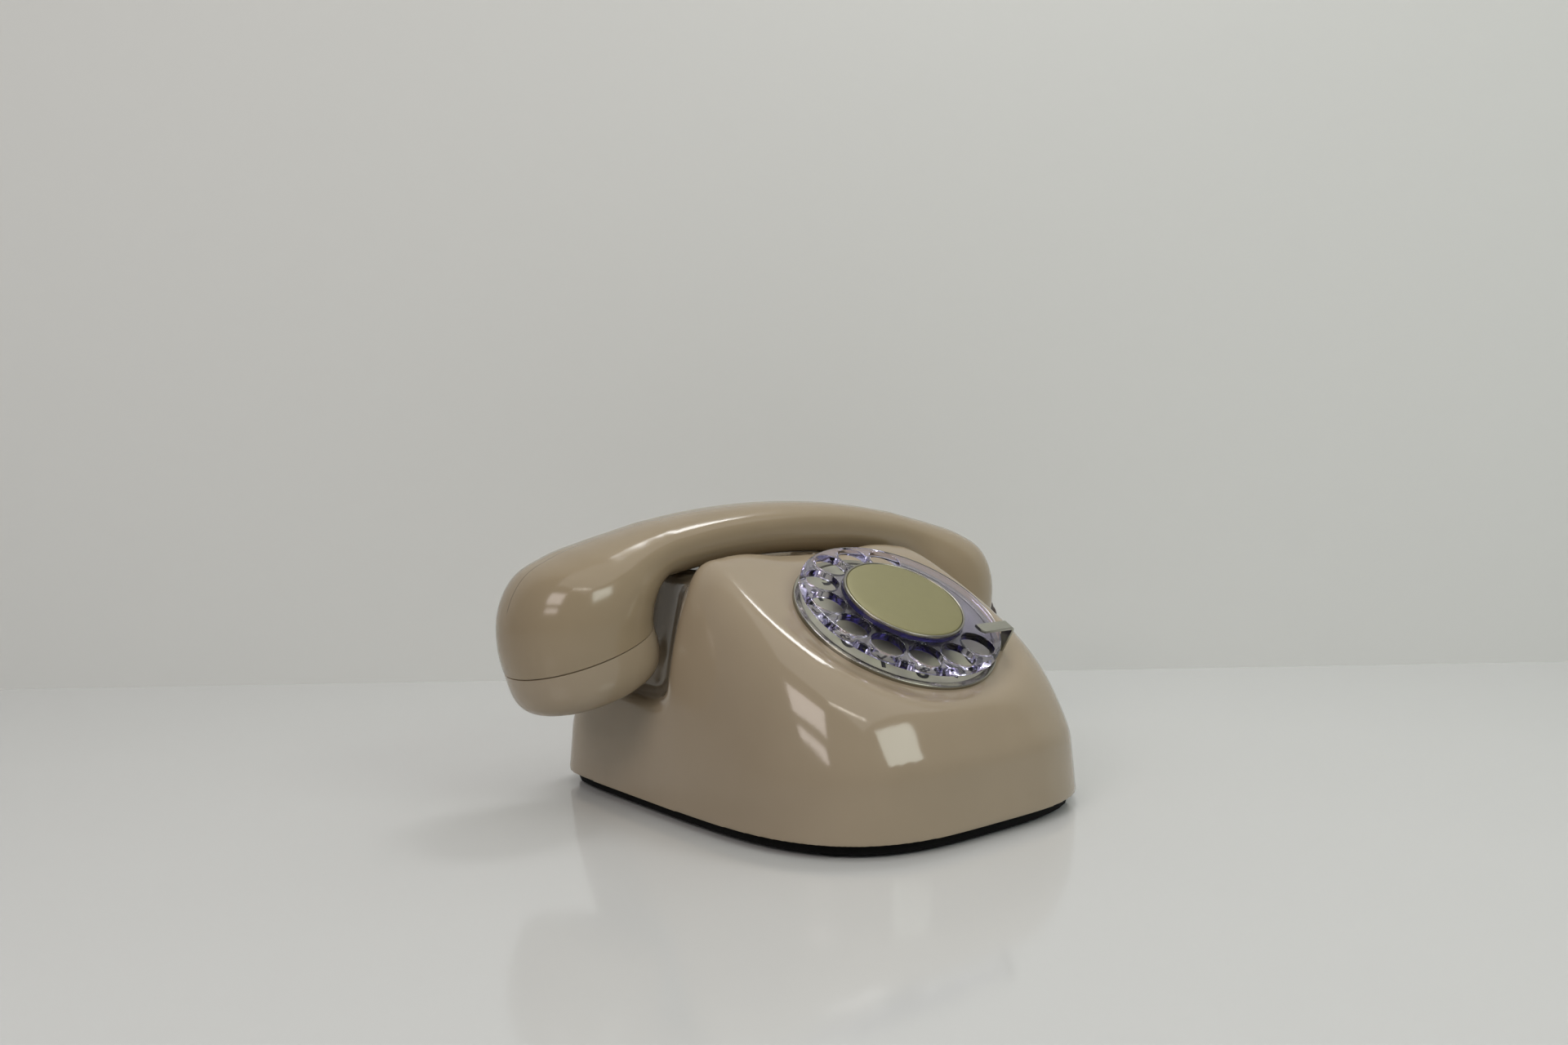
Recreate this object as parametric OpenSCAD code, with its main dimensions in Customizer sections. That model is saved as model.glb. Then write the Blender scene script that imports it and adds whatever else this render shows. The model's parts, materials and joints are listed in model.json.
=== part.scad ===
// Table telephone with a rotary dial, a handset that lies across its top and a coiled handset cord.
// Millimetres, +Z up, feet on Z = 0. The dial faces -Y and the handset lies along X.

/* [Housing] */
// Width of the skirt at the rear
housing_w = 148.6; // [140:1:160]
// Front to back length of the skirt
housing_l = 176.4; // [168:1:190]
// How much narrower the skirt is at the front
front_narrowing = 4; // [0:1:8]
// Height of the skirt's shoulder
shoulder_z = 27; // [22:1:30]
// Height of the skirt's lower edge above the table
skirt_z = 5; // [4:0.5:6]
// Height of the ridge in front of the handset
ridge_z = 92.6; // [88:0.5:98]
// Height of the two soft bumps on that ridge
bump_h = 3; // [0:0.5:5]
// Wall of the moulded housing
housing_wall = 2.5; // [2:0.25:3.5]
// Height of the floor of the two cup pockets
pocket_z = 41; // [38:1:44]

/* [Dial] */
// Diameter of the finger wheel
wheel_d = 77; // [74:0.5:80]
// Thickness of the finger wheel
wheel_t = 3; // [2.5:0.25:4]
// Diameter of each finger hole
finger_hole_d = 12.4; // [11:0.2:13]
// Width of the finger wheel's rim outside its holes
finger_rim = 1.9; // [1.5:0.1:2.5]
// Angle between two finger holes
finger_pitch = 26.2; // [25:0.1:27]
// Lean of the dial from the horizontal
dial_tilt = 30.8; // [28:0.2:34]
// Distance of the dial's centre in front of the middle
dial_front = 38.3; // [36:0.5:40]
// Height of the dial's centre
dial_z = 68.7; // [66:0.5:70]
// How far the bright ring round the number plate stands out past the finger wheel
bezel_out = 0.6; // [0.3:0.1:2]
// Diameter of the round centre plate
centre_d = 44.4; // [40:0.2:46]

/* [Handset] */
// Distance between the two cups' centres at their seams
cup_span = 178.4; // [174:1:184]
// Radius of each cup at its seam
cup_r = 28.4; // [27:0.2:29.5]
// Inward lean of each cup
cup_lean = 17.6; // [14:0.2:20]
// Height of a cup's seam centre above the table
cup_z = 60.8; // [58:0.2:64]
// Depth of a screwed cap below the seam
cap_h = 18.7; // [16:0.2:20]
// Height of the domed back of a cup above the seam
dome_h = 36.5; // [34:0.5:38]
// Height of the handle's back at the middle
handle_z = 111; // [109:0.5:116]
// Thickness of the handle from back to underside
handle_t = 21; // [18:0.5:22]
// Width of the handle
handle_w = 39; // [34:0.5:42]
// Radius of the handle's arc
handle_arc_r = 294; // [280:1:310]
// Distance of the handset's centre line behind the middle
handset_back = 35.4; // [34:0.2:37]
// Wall of the handset's mouldings
handset_wall = 3; // [2.5:0.25:3.5]

/* [Movement] */
// Diameter of the dial's shaft
shaft_d = 5; // [4:0.5:6]
// Teeth of the dial's main gear
gear_teeth = 48; // [40:1:52]
// Teeth of the governor's pinion
pinion_teeth = 12; // [10:1:14]
// Gear module
gear_module = 0.7; // [0.6:0.05:0.75]
// Radial clearance of a turning or sliding fit
running_fit = 0.08; // [0.05:0.01:0.1]
// Clearance between separate pieces that don't touch
clearance = 0.3; // [0.2:0.05:0.5]

/* [Ringer and switch] */
// Radius of a gong
gong_r = 18; // [15:0.5:19]
// Height of a gong
gong_h = 9; // [7:0.5:11]
// Diameter of a cradle plunger
plunger_d = 9; // [7:0.5:10]
// Distance of each plunger from the middle
plunger_x = 30; // [26:1:34]

/* [Feet and cords] */
// Radius of a rubber foot
foot_r = 7; // [5:0.5:9]
// Height of the base plate's underside above the table
base_z = 1.4; // [1:0.2:2]
// Outside diameter of the coiled cord
coil_d = 11; // [9:0.5:12]
// Bore for the line cord in its inlet
line_bore_d = 5.4; // [4.5:0.1:6]

/* [Hidden] */
$fn = 96;
eps = 0.01;

IVORY = "#a89678";
BLACK = "#1b1b1d";
STEEL = "#b9bbbe";
BRASS = "#b08d4a";

// ---- Housing outline: a superellipse in plan, rounder at the front than at the rear ----
half_rear = housing_w / 2;
half_front = half_rear - front_narrowing / 2;
half_len = housing_l / 2;
front_power = 3.3;
rear_power = 9;
skirt_draft = 1.8;
shoulder_r = 3;

// Top outline, round the dial at the front and along the handset's trough at the rear
bezel_r = wheel_d / 2 + bezel_out;
well_r = bezel_r + 0.5;
top_half_w = well_r + 7.4;
top_front = dial_front + well_r * cos(dial_tilt) + 3.1;
top_rear = half_len - 18.2;
top_front_power = 2.6;
top_rear_power = 5;

function superellipse_r(a, w, l, p) =
    pow(pow(abs(cos(a)) / w, p) + pow(abs(sin(a)) / l, p), -1 / p);
function skirt_half_w(a, inset) = half_rear + (half_rear - half_front) * min(sin(a), 0) - inset;
function skirt_point(a, inset) =
    let(p = sin(a) < 0 ? front_power : rear_power,
        r = superellipse_r(a, skirt_half_w(a, inset), half_len - inset, p))
    [r * cos(a), r * sin(a)];
function top_point(a, inset) =
    let(front = sin(a) < 0,
        r = superellipse_r(a, top_half_w - inset, (front ? top_front : top_rear) - inset,
                           front ? top_front_power : top_rear_power))
    [r * cos(a), r * sin(a)];

// Height of the top surface: the dial's slope, smoothly held down to the ridge and its two bumps
dial_y = -dial_front;
slope_drop = 1.6;
ridge_blend = 6;
bump_x = 33;
bump_spread = 13;
ridge_y = 11;
rear_fall = 0.06;
function smooth_min(a, b, k) = (a + b - sqrt((a - b) * (a - b) + k * k)) / 2;
function slope_z(y) = dial_z + (y - dial_y) * tan(dial_tilt) - slope_drop;
function ridge_at(x, y) =
    ridge_z + bump_h * exp(-pow((abs(x) - bump_x) / bump_spread, 2)) - rear_fall * max(y - ridge_y, 0);
function top_z(p) = smooth_min(slope_z(p[1]), ridge_at(p[0], p[1]), ridge_blend);

// One ring of the housing's outer or inner skin for each level. "sideways" is 1 at the sides and 0 in front.
flank_steps = 8;
top_steps = 5;
shoulder_in = 2.6;
function sideways(a) = pow(abs(cos(a)), 2);
function flank_rise(k, a) = pow(1 - pow(1 - k, 2), 1 - 0.42 * sideways(a));
function ring(sides, f) = [for (i = [0 : sides - 1]) f(360 * i / sides)];
function skirt_ring(sides, inset, z) = ring(sides, function(a) let(p = skirt_point(a, inset)) [p[0], p[1], z]);
function shoulder_point(a, wall) = skirt_point(a, skirt_draft + shoulder_in * (1 - 0.8 * sideways(a)) + wall);
function flank_ring(sides, k, wall) = ring(sides, function(a)
    let(low = shoulder_point(a, wall),
        high = top_point(a, wall),
        p = low + (high - low) * k,
        z0 = shoulder_z + shoulder_r - wall,
        z1 = top_z(top_point(a, 0)) - wall)
    [p[0], p[1], z0 + (z1 - z0) * flank_rise(k, a)]);
function top_ring(sides, s, wall) = ring(sides, function(a)
    let(p = top_point(a, wall) * s) [p[0], p[1], top_z(p) - wall]);
function skin_rings(sides, z0, wall) = concat(
    [skirt_ring(sides, wall, z0), skirt_ring(sides, skirt_draft + wall, shoulder_z - wall / 2)],
    [for (j = [0 : flank_steps]) flank_ring(sides, j / flank_steps, wall)],
    [for (j = [1 : top_steps - 1]) top_ring(sides, 1 - j / top_steps, wall)]);

// A closed solid through rings of points. Each end closes on a point: its own middle, or a given tip.
function middle(ring) = [for (p = ring) 1] * ring / len(ring);
module loft(rings, tip = undef) {
    sides = len(rings[0]);
    last = len(rings) - 1;
    start = sides * len(rings);
    points = concat([for (r = rings) each r], [middle(rings[0]), is_undef(tip) ? middle(rings[last]) : tip]);
    faces = [for (i = [0 : sides - 1])
        let(n = (i + 1) % sides)
        each concat([[start, i, n], [start + 1, last * sides + n, last * sides + i]],
                    [for (j = [0 : last - 1])
                        let(a = j * sides + i, b = j * sides + n)
                        each [[a, b + sides, b], [a, a + sides, b + sides]]])];
    polyhedron(points = points, faces = faces, convexity = 8);
}
module housing_skin(sides, z0, wall) {
    loft(skin_rings(sides, z0, wall), [0, 0, top_z([0, 0]) - wall]);
}

// ---- Dial frame: local +Z is the dial's normal, Z = 0 the number plate's face ----
module on_dial() {
    translate([0, dial_y, dial_z]) rotate([dial_tilt, 0, 0]) children();
}
wheel_r = wheel_d / 2;
finger_circle_r = wheel_r - finger_rim - finger_hole_d / 2;
bezel_wall = 2.6;
bezel_top = 0.8;
well_depth = 6;
ledge_hole_r = bezel_r - 5.5;
plate_r = bezel_r - bezel_wall - clearance / 2;
case_r = ledge_hole_r - 1.2;
case_wall = 1.6;
case_floor = -26;
top_plate_t = 3;
wheel_gap = 4.2;
first_hole_angle = 63.6;
hole_count = 10;
shaft_r = shaft_d / 2;
wheel_top = wheel_gap + wheel_t;
centre_r = centre_d / 2;
boss_h = 1.8;
stop_t = 1.1;
stop_h = wheel_top + 2;
stop_w = 4.6;
stop_y = -0.56 * bezel_r;
stop_out_x = sqrt(pow(bezel_r + 0.4, 2) - pow(stop_y + stop_w / 2, 2)) + stop_t;
stop_in_x = stop_out_x - 16.8;
stop_slot = 0.25;

// ---- Gear train ----
gear_r = gear_teeth * gear_module / 2;
pinion_r = pinion_teeth * gear_module / 2;
gear_distance = gear_r + pinion_r + 0.1;
gear_z = -13.5;
gear_t = 3;
spindle_r = 1.2;
cam_r = 10;
cam_t = 1.6;
cam_notch_r = 1.3;

// ---- Handset ----
cup_x = cup_span / 2;
handle_centre_z = handle_z - handle_arc_r;
handle_under_r = handle_arc_r - handle_t;
function handle_back(x) = handle_centre_z + sqrt(pow(handle_arc_r, 2) - x * x);
function handle_under(x) = handle_centre_z + sqrt(pow(handle_under_r, 2) - x * x);
handle_power = 2.5;
handle_flare = 0.3;
// The handset's skin is a row of rounded sections. Round each cup they fan about a line just inside the
// bend, from the seam's plane up to an upright one, and then they run along the handle.
fan_x = cup_x - 34.2;
fan_z = cup_z + (cup_x - fan_x) * tan(cup_lean);
fan_steps = 12;
handle_steps = 10;
seam_mid = (cup_x - fan_x) / cos(cup_lean);
FAN_CUP = [seam_mid - cup_r, seam_mid + cup_r, cup_r];
FAN_HANDLE = [handle_under(fan_x) - fan_z, handle_back(fan_x) - fan_z, handle_w / 2 + handle_flare];
// Angle above the horizontal, and how far the inside, the outside and the half width have gone from the cup's
// to the handle's
FAN = [[-cup_lean, 0, 0, 0], [-8, 0, 0.01, 0], [4, 0, 0.06, 0.03], [16, 0.06, 0.21, 0.16],
       [28, 0.17, 0.51, 0.37], [42, 0.35, 0.79, 0.63], [58, 0.59, 0.96, 0.84], [74, 0.86, 1.02, 0.95],
       [90, 1, 1, 1]];
cap_power = 4.2;
dome_power = 2.2;
spigot_h = 8;
spigot_r = cup_r - handset_wall;
spigot_fit = 0.7;
spigot_wall = 2.5;
hollow_step = 4;
cap_seam = 0.25;
wire_channel_r = 5;
channel_end_angle = asin((cup_x - 8) / handle_arc_r);

// Side "s" is -1 for the earpiece end and 1 for the mouthpiece end. Local +Z is up along the cup's axis.
module on_cup(s) {
    translate([s * cup_x, handset_back, cup_z]) rotate([0, s * cup_lean, 0]) children();
}

// ---- Saddle and pockets ----
trough_half_w = handle_w / 2 + 3;
saddle_gap = 1.6;
rest_gap = 0.3;
rest_x = 42;
rest_t = 3;
pocket_gap = 6.5;
pocket_in_x = cup_x - cup_r * cos(cup_lean) - cap_h * sin(cup_lean) - pocket_gap;
pocket_half_w = cup_r + 1.9;
pocket_corner = 22;
far = 150;

// ---- Base ----
base_t = 2;
base_inset = housing_wall + 0.3;
base_rim_h = 5;
floor_z = base_z + base_t;
pillar_r = 3;
post_r = 4.5;
post_x = half_rear - 20.3;
post_y = [36.2 - half_len, half_len - 18.2];
base_screw_r = 1.6;
base_screw_h = 14.4;
foot_x = half_rear - 24.3;
foot_y = [26.2 - half_len, half_len - 28.2];

// ---- Cords ----
boot_root_r = 6;
boot_tip_r = 4.4;
cord_y = handset_back;
coil_r = coil_d / 2;
inlet_x = -16;
inlet_z = 17;
line_x = 18;
// Centre line of the moulded boot, from inside the mouthpiece cup to its tip
BOOT_PATH = [[112, 68.5], [117, 64.5], [122, 60.5], [126.5, 56], [129.8, 50.5], [131.6, 44.5], [132, 38]];
// Centre line of the coiled cord, from the boot's tip down to the table and round to the rear inlet
CORD_PATH = [[132, 35.4, 37.7], [132.3, 35.4, 33], [132.3, 36.2, 27], [131.6, 38, 20.5], [129.6, 41.6, 14.5],
             [126.4, 46.6, 9.5], [122, 52.6, 6.6], [117, 59, 5.8], [111.5, 66, 5.7], [106, 73, 5.7],
             [100, 80.2, 5.7], [93, 87.4, 5.7], [85, 94.2, 5.7], [75.5, 99.6, 5.7], [65, 103.2, 5.7],
             [54, 105.2, 5.7], [43, 106, 5.7], [32, 106.3, 5.8], [21, 106.3, 6.4], [10, 106, 7.8],
             [0, 105.2, 10.6], [-8, 103.3, 14], [-14, 99.8, 16.6], [-16, 96, 17], [-16, 92, 17]];

// ---- Shared shapes ----
// A tube through points, one ring of sides round each, with its own radius at each point
function unit(v) = v / norm(v);
function tangent(path, i) = unit(path[min(i + 1, len(path) - 1)] - path[max(i - 1, 0)]);
module swept_tube(path, radii, sides, side_axis) {
    last = len(path) - 1;
    loft([for (i = [0 : last])
        let(t = tangent(path, i), u = unit(cross(side_axis, t)), v = cross(t, u))
        [for (k = [0 : sides - 1]) path[i] + radii[i] * (cos(360 * k / sides) * u + sin(360 * k / sides) * v)]]);
}
module rounded_rect(w, l, r) {
    square([w - 2 * r, l], center = true);
    square([w, l - 2 * r], center = true);
    for (x = [-1, 1], y = [-1, 1]) translate([x * (w / 2 - r), y * (l / 2 - r)]) circle(r);
}
module tube(r_out, r_in, h) {
    difference() {
        cylinder(r = r_out, h = h);
        translate([0, 0, -eps]) cylinder(r = r_in, h = h + 2 * eps);
    }
}
module screw(head_r, head_h, shank_r, shank_h) {
    difference() {
        cylinder(r = head_r, h = head_h);
        translate([-head_r, -0.4, head_h * 0.5]) cube([2 * head_r, 0.8, head_h]);
    }
    translate([0, 0, -shank_h]) cylinder(r = shank_r, h = shank_h + eps);
}
// Flat gear with straight-sided teeth; a tooth is narrower than its gap so that a pair runs freely
module gear(teeth, bore_r, h) {
    r = teeth * gear_module / 2;
    step = 360 / teeth;
    outline = [for (i = [0 : teeth - 1])
        let(a = i * step)
        each [[(r - 1.15 * gear_module) * cos(a - 0.28 * step), (r - 1.15 * gear_module) * sin(a - 0.28 * step)],
              [(r + 0.75 * gear_module) * cos(a - 0.09 * step), (r + 0.75 * gear_module) * sin(a - 0.09 * step)],
              [(r + 0.75 * gear_module) * cos(a + 0.09 * step), (r + 0.75 * gear_module) * sin(a + 0.09 * step)],
              [(r - 1.15 * gear_module) * cos(a + 0.28 * step), (r - 1.15 * gear_module) * sin(a + 0.28 * step)]]];
    difference() {
        linear_extrude(h) polygon(outline);
        translate([0, 0, -eps]) cylinder(r = bore_r, h = h + 2 * eps);
    }
}

// ---- Housing ----
// Space for the handle: open above, with a floor that follows the handle's underside
module handle_trough(grow) {
    difference() {
        translate([-far, handset_back - trough_half_w - grow, pocket_z])
            cube([2 * far, 2 * (trough_half_w + grow), far]);
        translate([0, handset_back, handle_centre_z]) rotate([90, 0, 0])
            cylinder(r = handle_under_r - saddle_gap - grow, h = 2 * far, center = true, $fn = 360);
    }
}
// Space for one cup: open above and outward, rounded in plan
module cup_pocket(s, grow) {
    w = 2 * (pocket_half_w + grow);
    in_x = pocket_in_x - grow;
    translate([0, handset_back, pocket_z - grow]) linear_extrude(far) {
        translate([s * (in_x + far / 2), 0]) rounded_rect(far, w, pocket_corner);
    }
}
module handset_space(grow) {
    handle_trough(grow);
    for (s = [-1, 1]) cup_pocket(s, grow);
}
module plunger_holes(r, extra) {
    for (x = [-1, 1]) translate([x * plunger_x, handset_back, 0]) cylinder(r = r + extra, h = far);
}
saddle_boss_z = 76;
saddle_boss_x = 12;
saddle_screw_r = 1.2;
plunger_r = plunger_d / 2;
module housing_cavity() {
    difference() {
        translate([0, 0, -eps]) housing_skin(64, skirt_z - 1, housing_wall);
        handset_space(housing_wall);
        // Bosses that the switch bracket is screwed to, and the plungers' guides
        for (x = [-1, 1]) translate([x * saddle_boss_x, handset_back, saddle_boss_z]) cylinder(r = 4, h = far);
        difference() {
            translate([0, 0, saddle_boss_z + 2]) plunger_holes(plunger_r, 2);
            plunger_holes(plunger_r, running_fit);
        }
        for (x = [-1, 1], y = post_y) translate([x * post_x, y, floor_z]) cylinder(r = post_r, h = far);
        // Well that holds the dial
        on_dial() translate([0, 0, -well_depth - housing_wall]) cylinder(r = well_r + housing_wall, h = 60);
    }
}
module cradle_rests() {
    for (s = [-1, 1]) intersection() {
        translate([s * rest_x - rest_t / 2, handset_back - trough_half_w, 0])
            cube([rest_t, 2 * trough_half_w, far]);
        difference() {
            translate([0, handset_back, handle_centre_z]) rotate([90, 0, 0])
                cylinder(r = handle_under_r - rest_gap, h = 2 * trough_half_w, center = true, $fn = 360);
            translate([0, handset_back, handle_centre_z]) rotate([90, 0, 0])
                cylinder(r = handle_under_r - saddle_gap - 1, h = 3 * trough_half_w, center = true, $fn = 360);
        }
    }
}
module housing() {
    color(IVORY) {
        difference() {
            housing_skin(64, skirt_z, 0);
            housing_cavity();
            handset_space(0);
            plunger_holes(plunger_r, running_fit);
            on_dial() {
                translate([0, 0, -well_depth]) cylinder(r = well_r, h = 60);
                translate([0, 0, -60]) cylinder(r = ledge_hole_r, h = 60);
                translate([stop_out_x - stop_t - stop_slot, stop_y - stop_w / 2 - stop_slot, -well_depth])
                    cube([stop_t + 2 * stop_slot, stop_w + 2 * stop_slot, 40]);
            }
            for (x = [-1, 1], y = post_y) translate([x * post_x, y, 0])
                cylinder(r = base_screw_r - 0.2, h = base_screw_h + 4);
            for (x = [-1, 1]) translate([x * saddle_boss_x, handset_back, 0])
                cylinder(r = saddle_screw_r + 0.05, h = saddle_boss_z + 9);
            for (inlet = [[inlet_x, coil_r - 0.6], [line_x, line_bore_d / 2 + 1.4]])
                rear_inlet(inlet[0]) translate([0, 0, -12]) cylinder(r = inlet[1], h = 30);
        }
        cradle_rests();
    }
}

// ---- Base ----
module outline(inset) { polygon(ring(72, function(a) skirt_point(a, inset))); }
rim_inset = housing_wall + 1.2;
module base_holes(r, x_half, ys) {
    for (x = [-1, 1], y = ys) translate([x * x_half, y, base_z - eps]) cylinder(r = r, h = 3);
}
module base_plate() {
    color(BLACK) difference() {
        union() {
            translate([0, 0, base_z]) linear_extrude(base_t) outline(base_inset);
            translate([0, 0, base_z]) linear_extrude(skirt_z - base_z) difference() {
                outline(base_inset);
                outline(rim_inset + 2);
            }
            translate([0, 0, skirt_z]) linear_extrude(base_rim_h) difference() {
                outline(rim_inset);
                outline(rim_inset + 2);
            }
            for (p = board_posts) translate([p[0], p[1], base_z])
                cylinder(r = pillar_r, h = board_z - base_z);
            for (y = gong_y) translate([gong_x, y, base_z])
                cylinder(r = pillar_r, h = gong_z + gong_h - gong_t - base_z);
        }
        base_holes(base_screw_r, post_x, post_y);
        base_holes(2.6, foot_x, foot_y);
        for (p = board_posts) translate([p[0], p[1], base_z + 3]) cylinder(r = 1.05, h = 20);
        for (y = gong_y) translate([gong_x, y, base_z + 8]) cylinder(r = 1.25, h = 40);
    }
}
module base_feet() {
    color(BLACK) for (x = [-1, 1], y = foot_y) translate([x * foot_x, y, 0]) {
        cylinder(r = foot_r, h = base_z);
        translate([0, 0, base_z - eps]) cylinder(r = 2.5, h = 3.2);
    }
}
module base_screws() {
    color(STEEL) for (x = [-1, 1], y = post_y) translate([x * post_x, y, base_z]) mirror([0, 0, 1])
        screw(2.8, 1.1, base_screw_r - 0.25, base_screw_h - base_z);
}

// ---- Rear inlets ----
module rear_inlet(x) { translate([x, half_len, inlet_z]) rotate([-90, 0, 0]) children(); }
module line_inlet() {
    color(BLACK) rear_inlet(line_x) difference() {
        union() {
            translate([0, 0, -6.2]) cylinder(r = line_bore_d / 2 + 1.3, h = 6.2);
            translate([0, 0, -6.2]) cylinder(r = line_bore_d / 2 + 2.8, h = 2);
        }
        translate([0, 0, -7]) cylinder(r = line_bore_d / 2, h = 8);
    }
}
module cord_inlet() {
    color("#3a2418") rear_inlet(inlet_x) {
        translate([0, 0, -6.2]) cylinder(r = coil_r + 0.9, h = 2);
        translate([0, 0, -4.3]) cylinder(r = coil_r - 0.65, h = 4.5);
        translate([0, 0, 0.1]) cylinder(r = coil_r + 1, h = 1.7);
        translate([0, 0, 1.7]) cylinder(r1 = coil_r - 0.3, r2 = coil_r - 1.4, h = 2.1);
    }
}

// ---- Dial ----
module bezel_ring() {
    color("silver") on_dial() rotate_extrude() polygon([
        [bezel_r - bezel_wall, -well_depth], [bezel_r, -well_depth], [bezel_r, bezel_top - 1],
        [bezel_r - 0.3, bezel_top - 0.3], [bezel_r - 1, bezel_top], [bezel_r - bezel_wall, bezel_top]]);
}
module number_plate() {
    color("#d8d6cb") on_dial() {
        translate([0, 0, -1]) tube(plate_r, 8.6, 1);
        translate([0, 0, top_plate_t - well_depth])
            tube(plate_r, plate_r - 2.2, well_depth - top_plate_t - 1 + eps);
    }
}
module spindle_place() { translate([0, gear_distance, 0]) children(); }
BOSS_ANGLES = [30, 150, 270];
boss_ring_r = case_r - 4.9;
module case_bosses(r, z, h) {
    for (a = BOSS_ANGLES) rotate(a) translate([boss_ring_r, 0, z]) cylinder(r = r, h = h);
}
module dial_top_plate() {
    color(STEEL) on_dial() translate([0, 0, -well_depth]) difference() {
        cylinder(r = plate_r, h = top_plate_t);
        translate([0, 0, -eps]) cylinder(r = shaft_r + running_fit, h = 5);
        spindle_place() translate([0, 0, -eps]) cylinder(r = spindle_r + running_fit, h = 5);
        case_bosses(1.1, -eps, 5);
    }
}
module dial_case() {
    color(STEEL) on_dial() difference() {
        union() {
            translate([0, 0, case_floor]) cylinder(r = case_r, h = case_wall);
            translate([0, 0, case_floor]) tube(case_r, case_r - case_wall, -case_floor - well_depth);
            case_bosses(2.6, case_floor + case_wall - eps, -case_floor - well_depth - case_wall + eps);
        }
        translate([0, 0, case_floor - 1]) cylinder(r = shaft_r + running_fit, h = 4);
        spindle_place() translate([0, 0, case_floor - 1]) cylinder(r = spindle_r + running_fit, h = 4);
        case_bosses(1.05, -18, 20);
    }
}
module dial_screws() {
    color(STEEL) on_dial() for (a = BOSS_ANGLES) rotate(a)
        translate([boss_ring_r, 0, top_plate_t - well_depth]) screw(2.2, 1.2, 1, 12);
}
module finger_wheel() {
    edge = 1;
    color("#d9d7ee", 0.45) on_dial() difference() {
        union() {
            rotate_extrude() polygon([
                [0, wheel_gap], [wheel_r - edge, wheel_gap], [wheel_r - 0.3, wheel_gap + 0.4],
                [wheel_r, wheel_gap + edge], [wheel_r, wheel_top - edge], [wheel_r - 0.4, wheel_top - 0.4],
                [wheel_r - edge, wheel_top], [0, wheel_top]]);
            translate([0, 0, wheel_top - eps]) cylinder(r = centre_r + 1, h = boss_h + eps);
        }
        translate([0, 0, 0]) cylinder(r = shaft_r + 0.04, h = 20);
        for (i = [0 : hole_count - 1]) rotate(first_hole_angle + i * finger_pitch)
            translate([finger_circle_r, 0, 0]) cylinder(r = finger_hole_d / 2, h = 20);
    }
}
module centre_plate() {
    color("#8f8a5a") on_dial() translate([0, 0, wheel_top + boss_h]) rotate_extrude()
        polygon([[0, 0], [centre_r - 0.05, 0], [centre_r - 0.05, 0.8], [centre_r - 1.2, 1.1], [0, 1.2]]);
}
module centre_rim() {
    color("silver") on_dial() translate([0, 0, wheel_top + boss_h]) tube(centre_r + 0.9, centre_r, 1);
}
module dial_shaft() {
    color(STEEL) on_dial() {
        translate([0, 0, case_floor - 0.6]) cylinder(r = shaft_r, h = wheel_top + boss_h - case_floor + 0.6);
        translate([0, 0, 0.4]) cylinder(r = 8, h = wheel_gap - 0.4);
    }
}
module main_gear() {
    color(BRASS) on_dial() translate([0, 0, gear_z]) gear(gear_teeth, shaft_r + 0.03, gear_t);
}
module pulse_cam() {
    color("#e6e2d4") on_dial() translate([0, 0, gear_z + gear_t]) difference() {
        cylinder(r = cam_r, h = cam_t);
        translate([0, 0, -eps]) cylinder(r = shaft_r + 0.03, h = cam_t + 1);
        for (i = [0 : hole_count - 1]) rotate(i * finger_pitch) translate([cam_r + 0.4, 0, -eps])
            cylinder(r = cam_notch_r, h = cam_t + 1);
    }
}
// The pinion's teeth stand half a pitch round from the main gear's where they mesh
mesh_angle = 90 - 360 / gear_teeth * round(90 * gear_teeth / 360);
pinion_phase = -90 + 180 / pinion_teeth + mesh_angle * gear_teeth / pinion_teeth;
module governor_pinion() {
    color(BRASS) on_dial() spindle_place() {
        translate([0, 0, gear_z]) rotate(pinion_phase) gear(pinion_teeth, spindle_r - eps, gear_t);
        translate([0, 0, case_floor]) cylinder(r = spindle_r, h = -case_floor - well_depth + top_plate_t);
    }
}
module governor_weights() {
    color(BRASS) on_dial() spindle_place() translate([0, 0, -21]) difference() {
        union() {
            cylinder(r = 3, h = 4);
            translate([0, 0, 1]) cylinder(r = 6.8, h = 1);
            for (s = [-1, 1]) translate([s * 4.4, 0, 1.5]) cylinder(r = 2, h = 2.4);
        }
        translate([0, 0, -eps]) cylinder(r = spindle_r + 0.03, h = 5);
    }
}
module return_spring() {
    turns = 4;
    leaf = 0.5;
    function spiral_r(t, side) = shaft_r + 0.9 + 1.4 * t / 360 + side * leaf / 2;
    steps = turns * 24;
    outer = [for (i = [0 : steps]) let(t = i * 15) spiral_r(t, 1) * [cos(t), sin(t)]];
    inner = [for (i = [steps : -1 : 0]) let(t = i * 15) spiral_r(t, -1) * [cos(t), sin(t)]];
    color(STEEL) on_dial() translate([0, 0, case_floor + case_wall])
        linear_extrude(3) polygon(concat(outer, inner));
}
module pulse_contacts() {
    color("#7b4a2a") on_dial() {
        translate([20.5, -4, case_floor + case_wall]) cube([6, 8, 17]);
        for (z = [0, 1]) translate([11.2, -1.5 + z * 2, gear_z + gear_t + 0.6]) cube([10, 1, 0.4]);
    }
}
module finger_stop() {
    color("silver") on_dial() {
        linear_extrude_at(stop_h, stop_t) polygon([
            [stop_in_x, stop_y + stop_w / 2], [stop_in_x + 0.2, stop_y - stop_w / 2],
            [stop_out_x, stop_y - stop_w / 2], [stop_out_x, stop_y + stop_w / 2]]);
        translate([stop_out_x - stop_t, stop_y - stop_w / 2, -well_depth])
            cube([stop_t, stop_w, stop_h + well_depth + eps]);
    }
}
module linear_extrude_at(z, h) { translate([0, 0, z]) linear_extrude(h) children(); }

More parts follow.
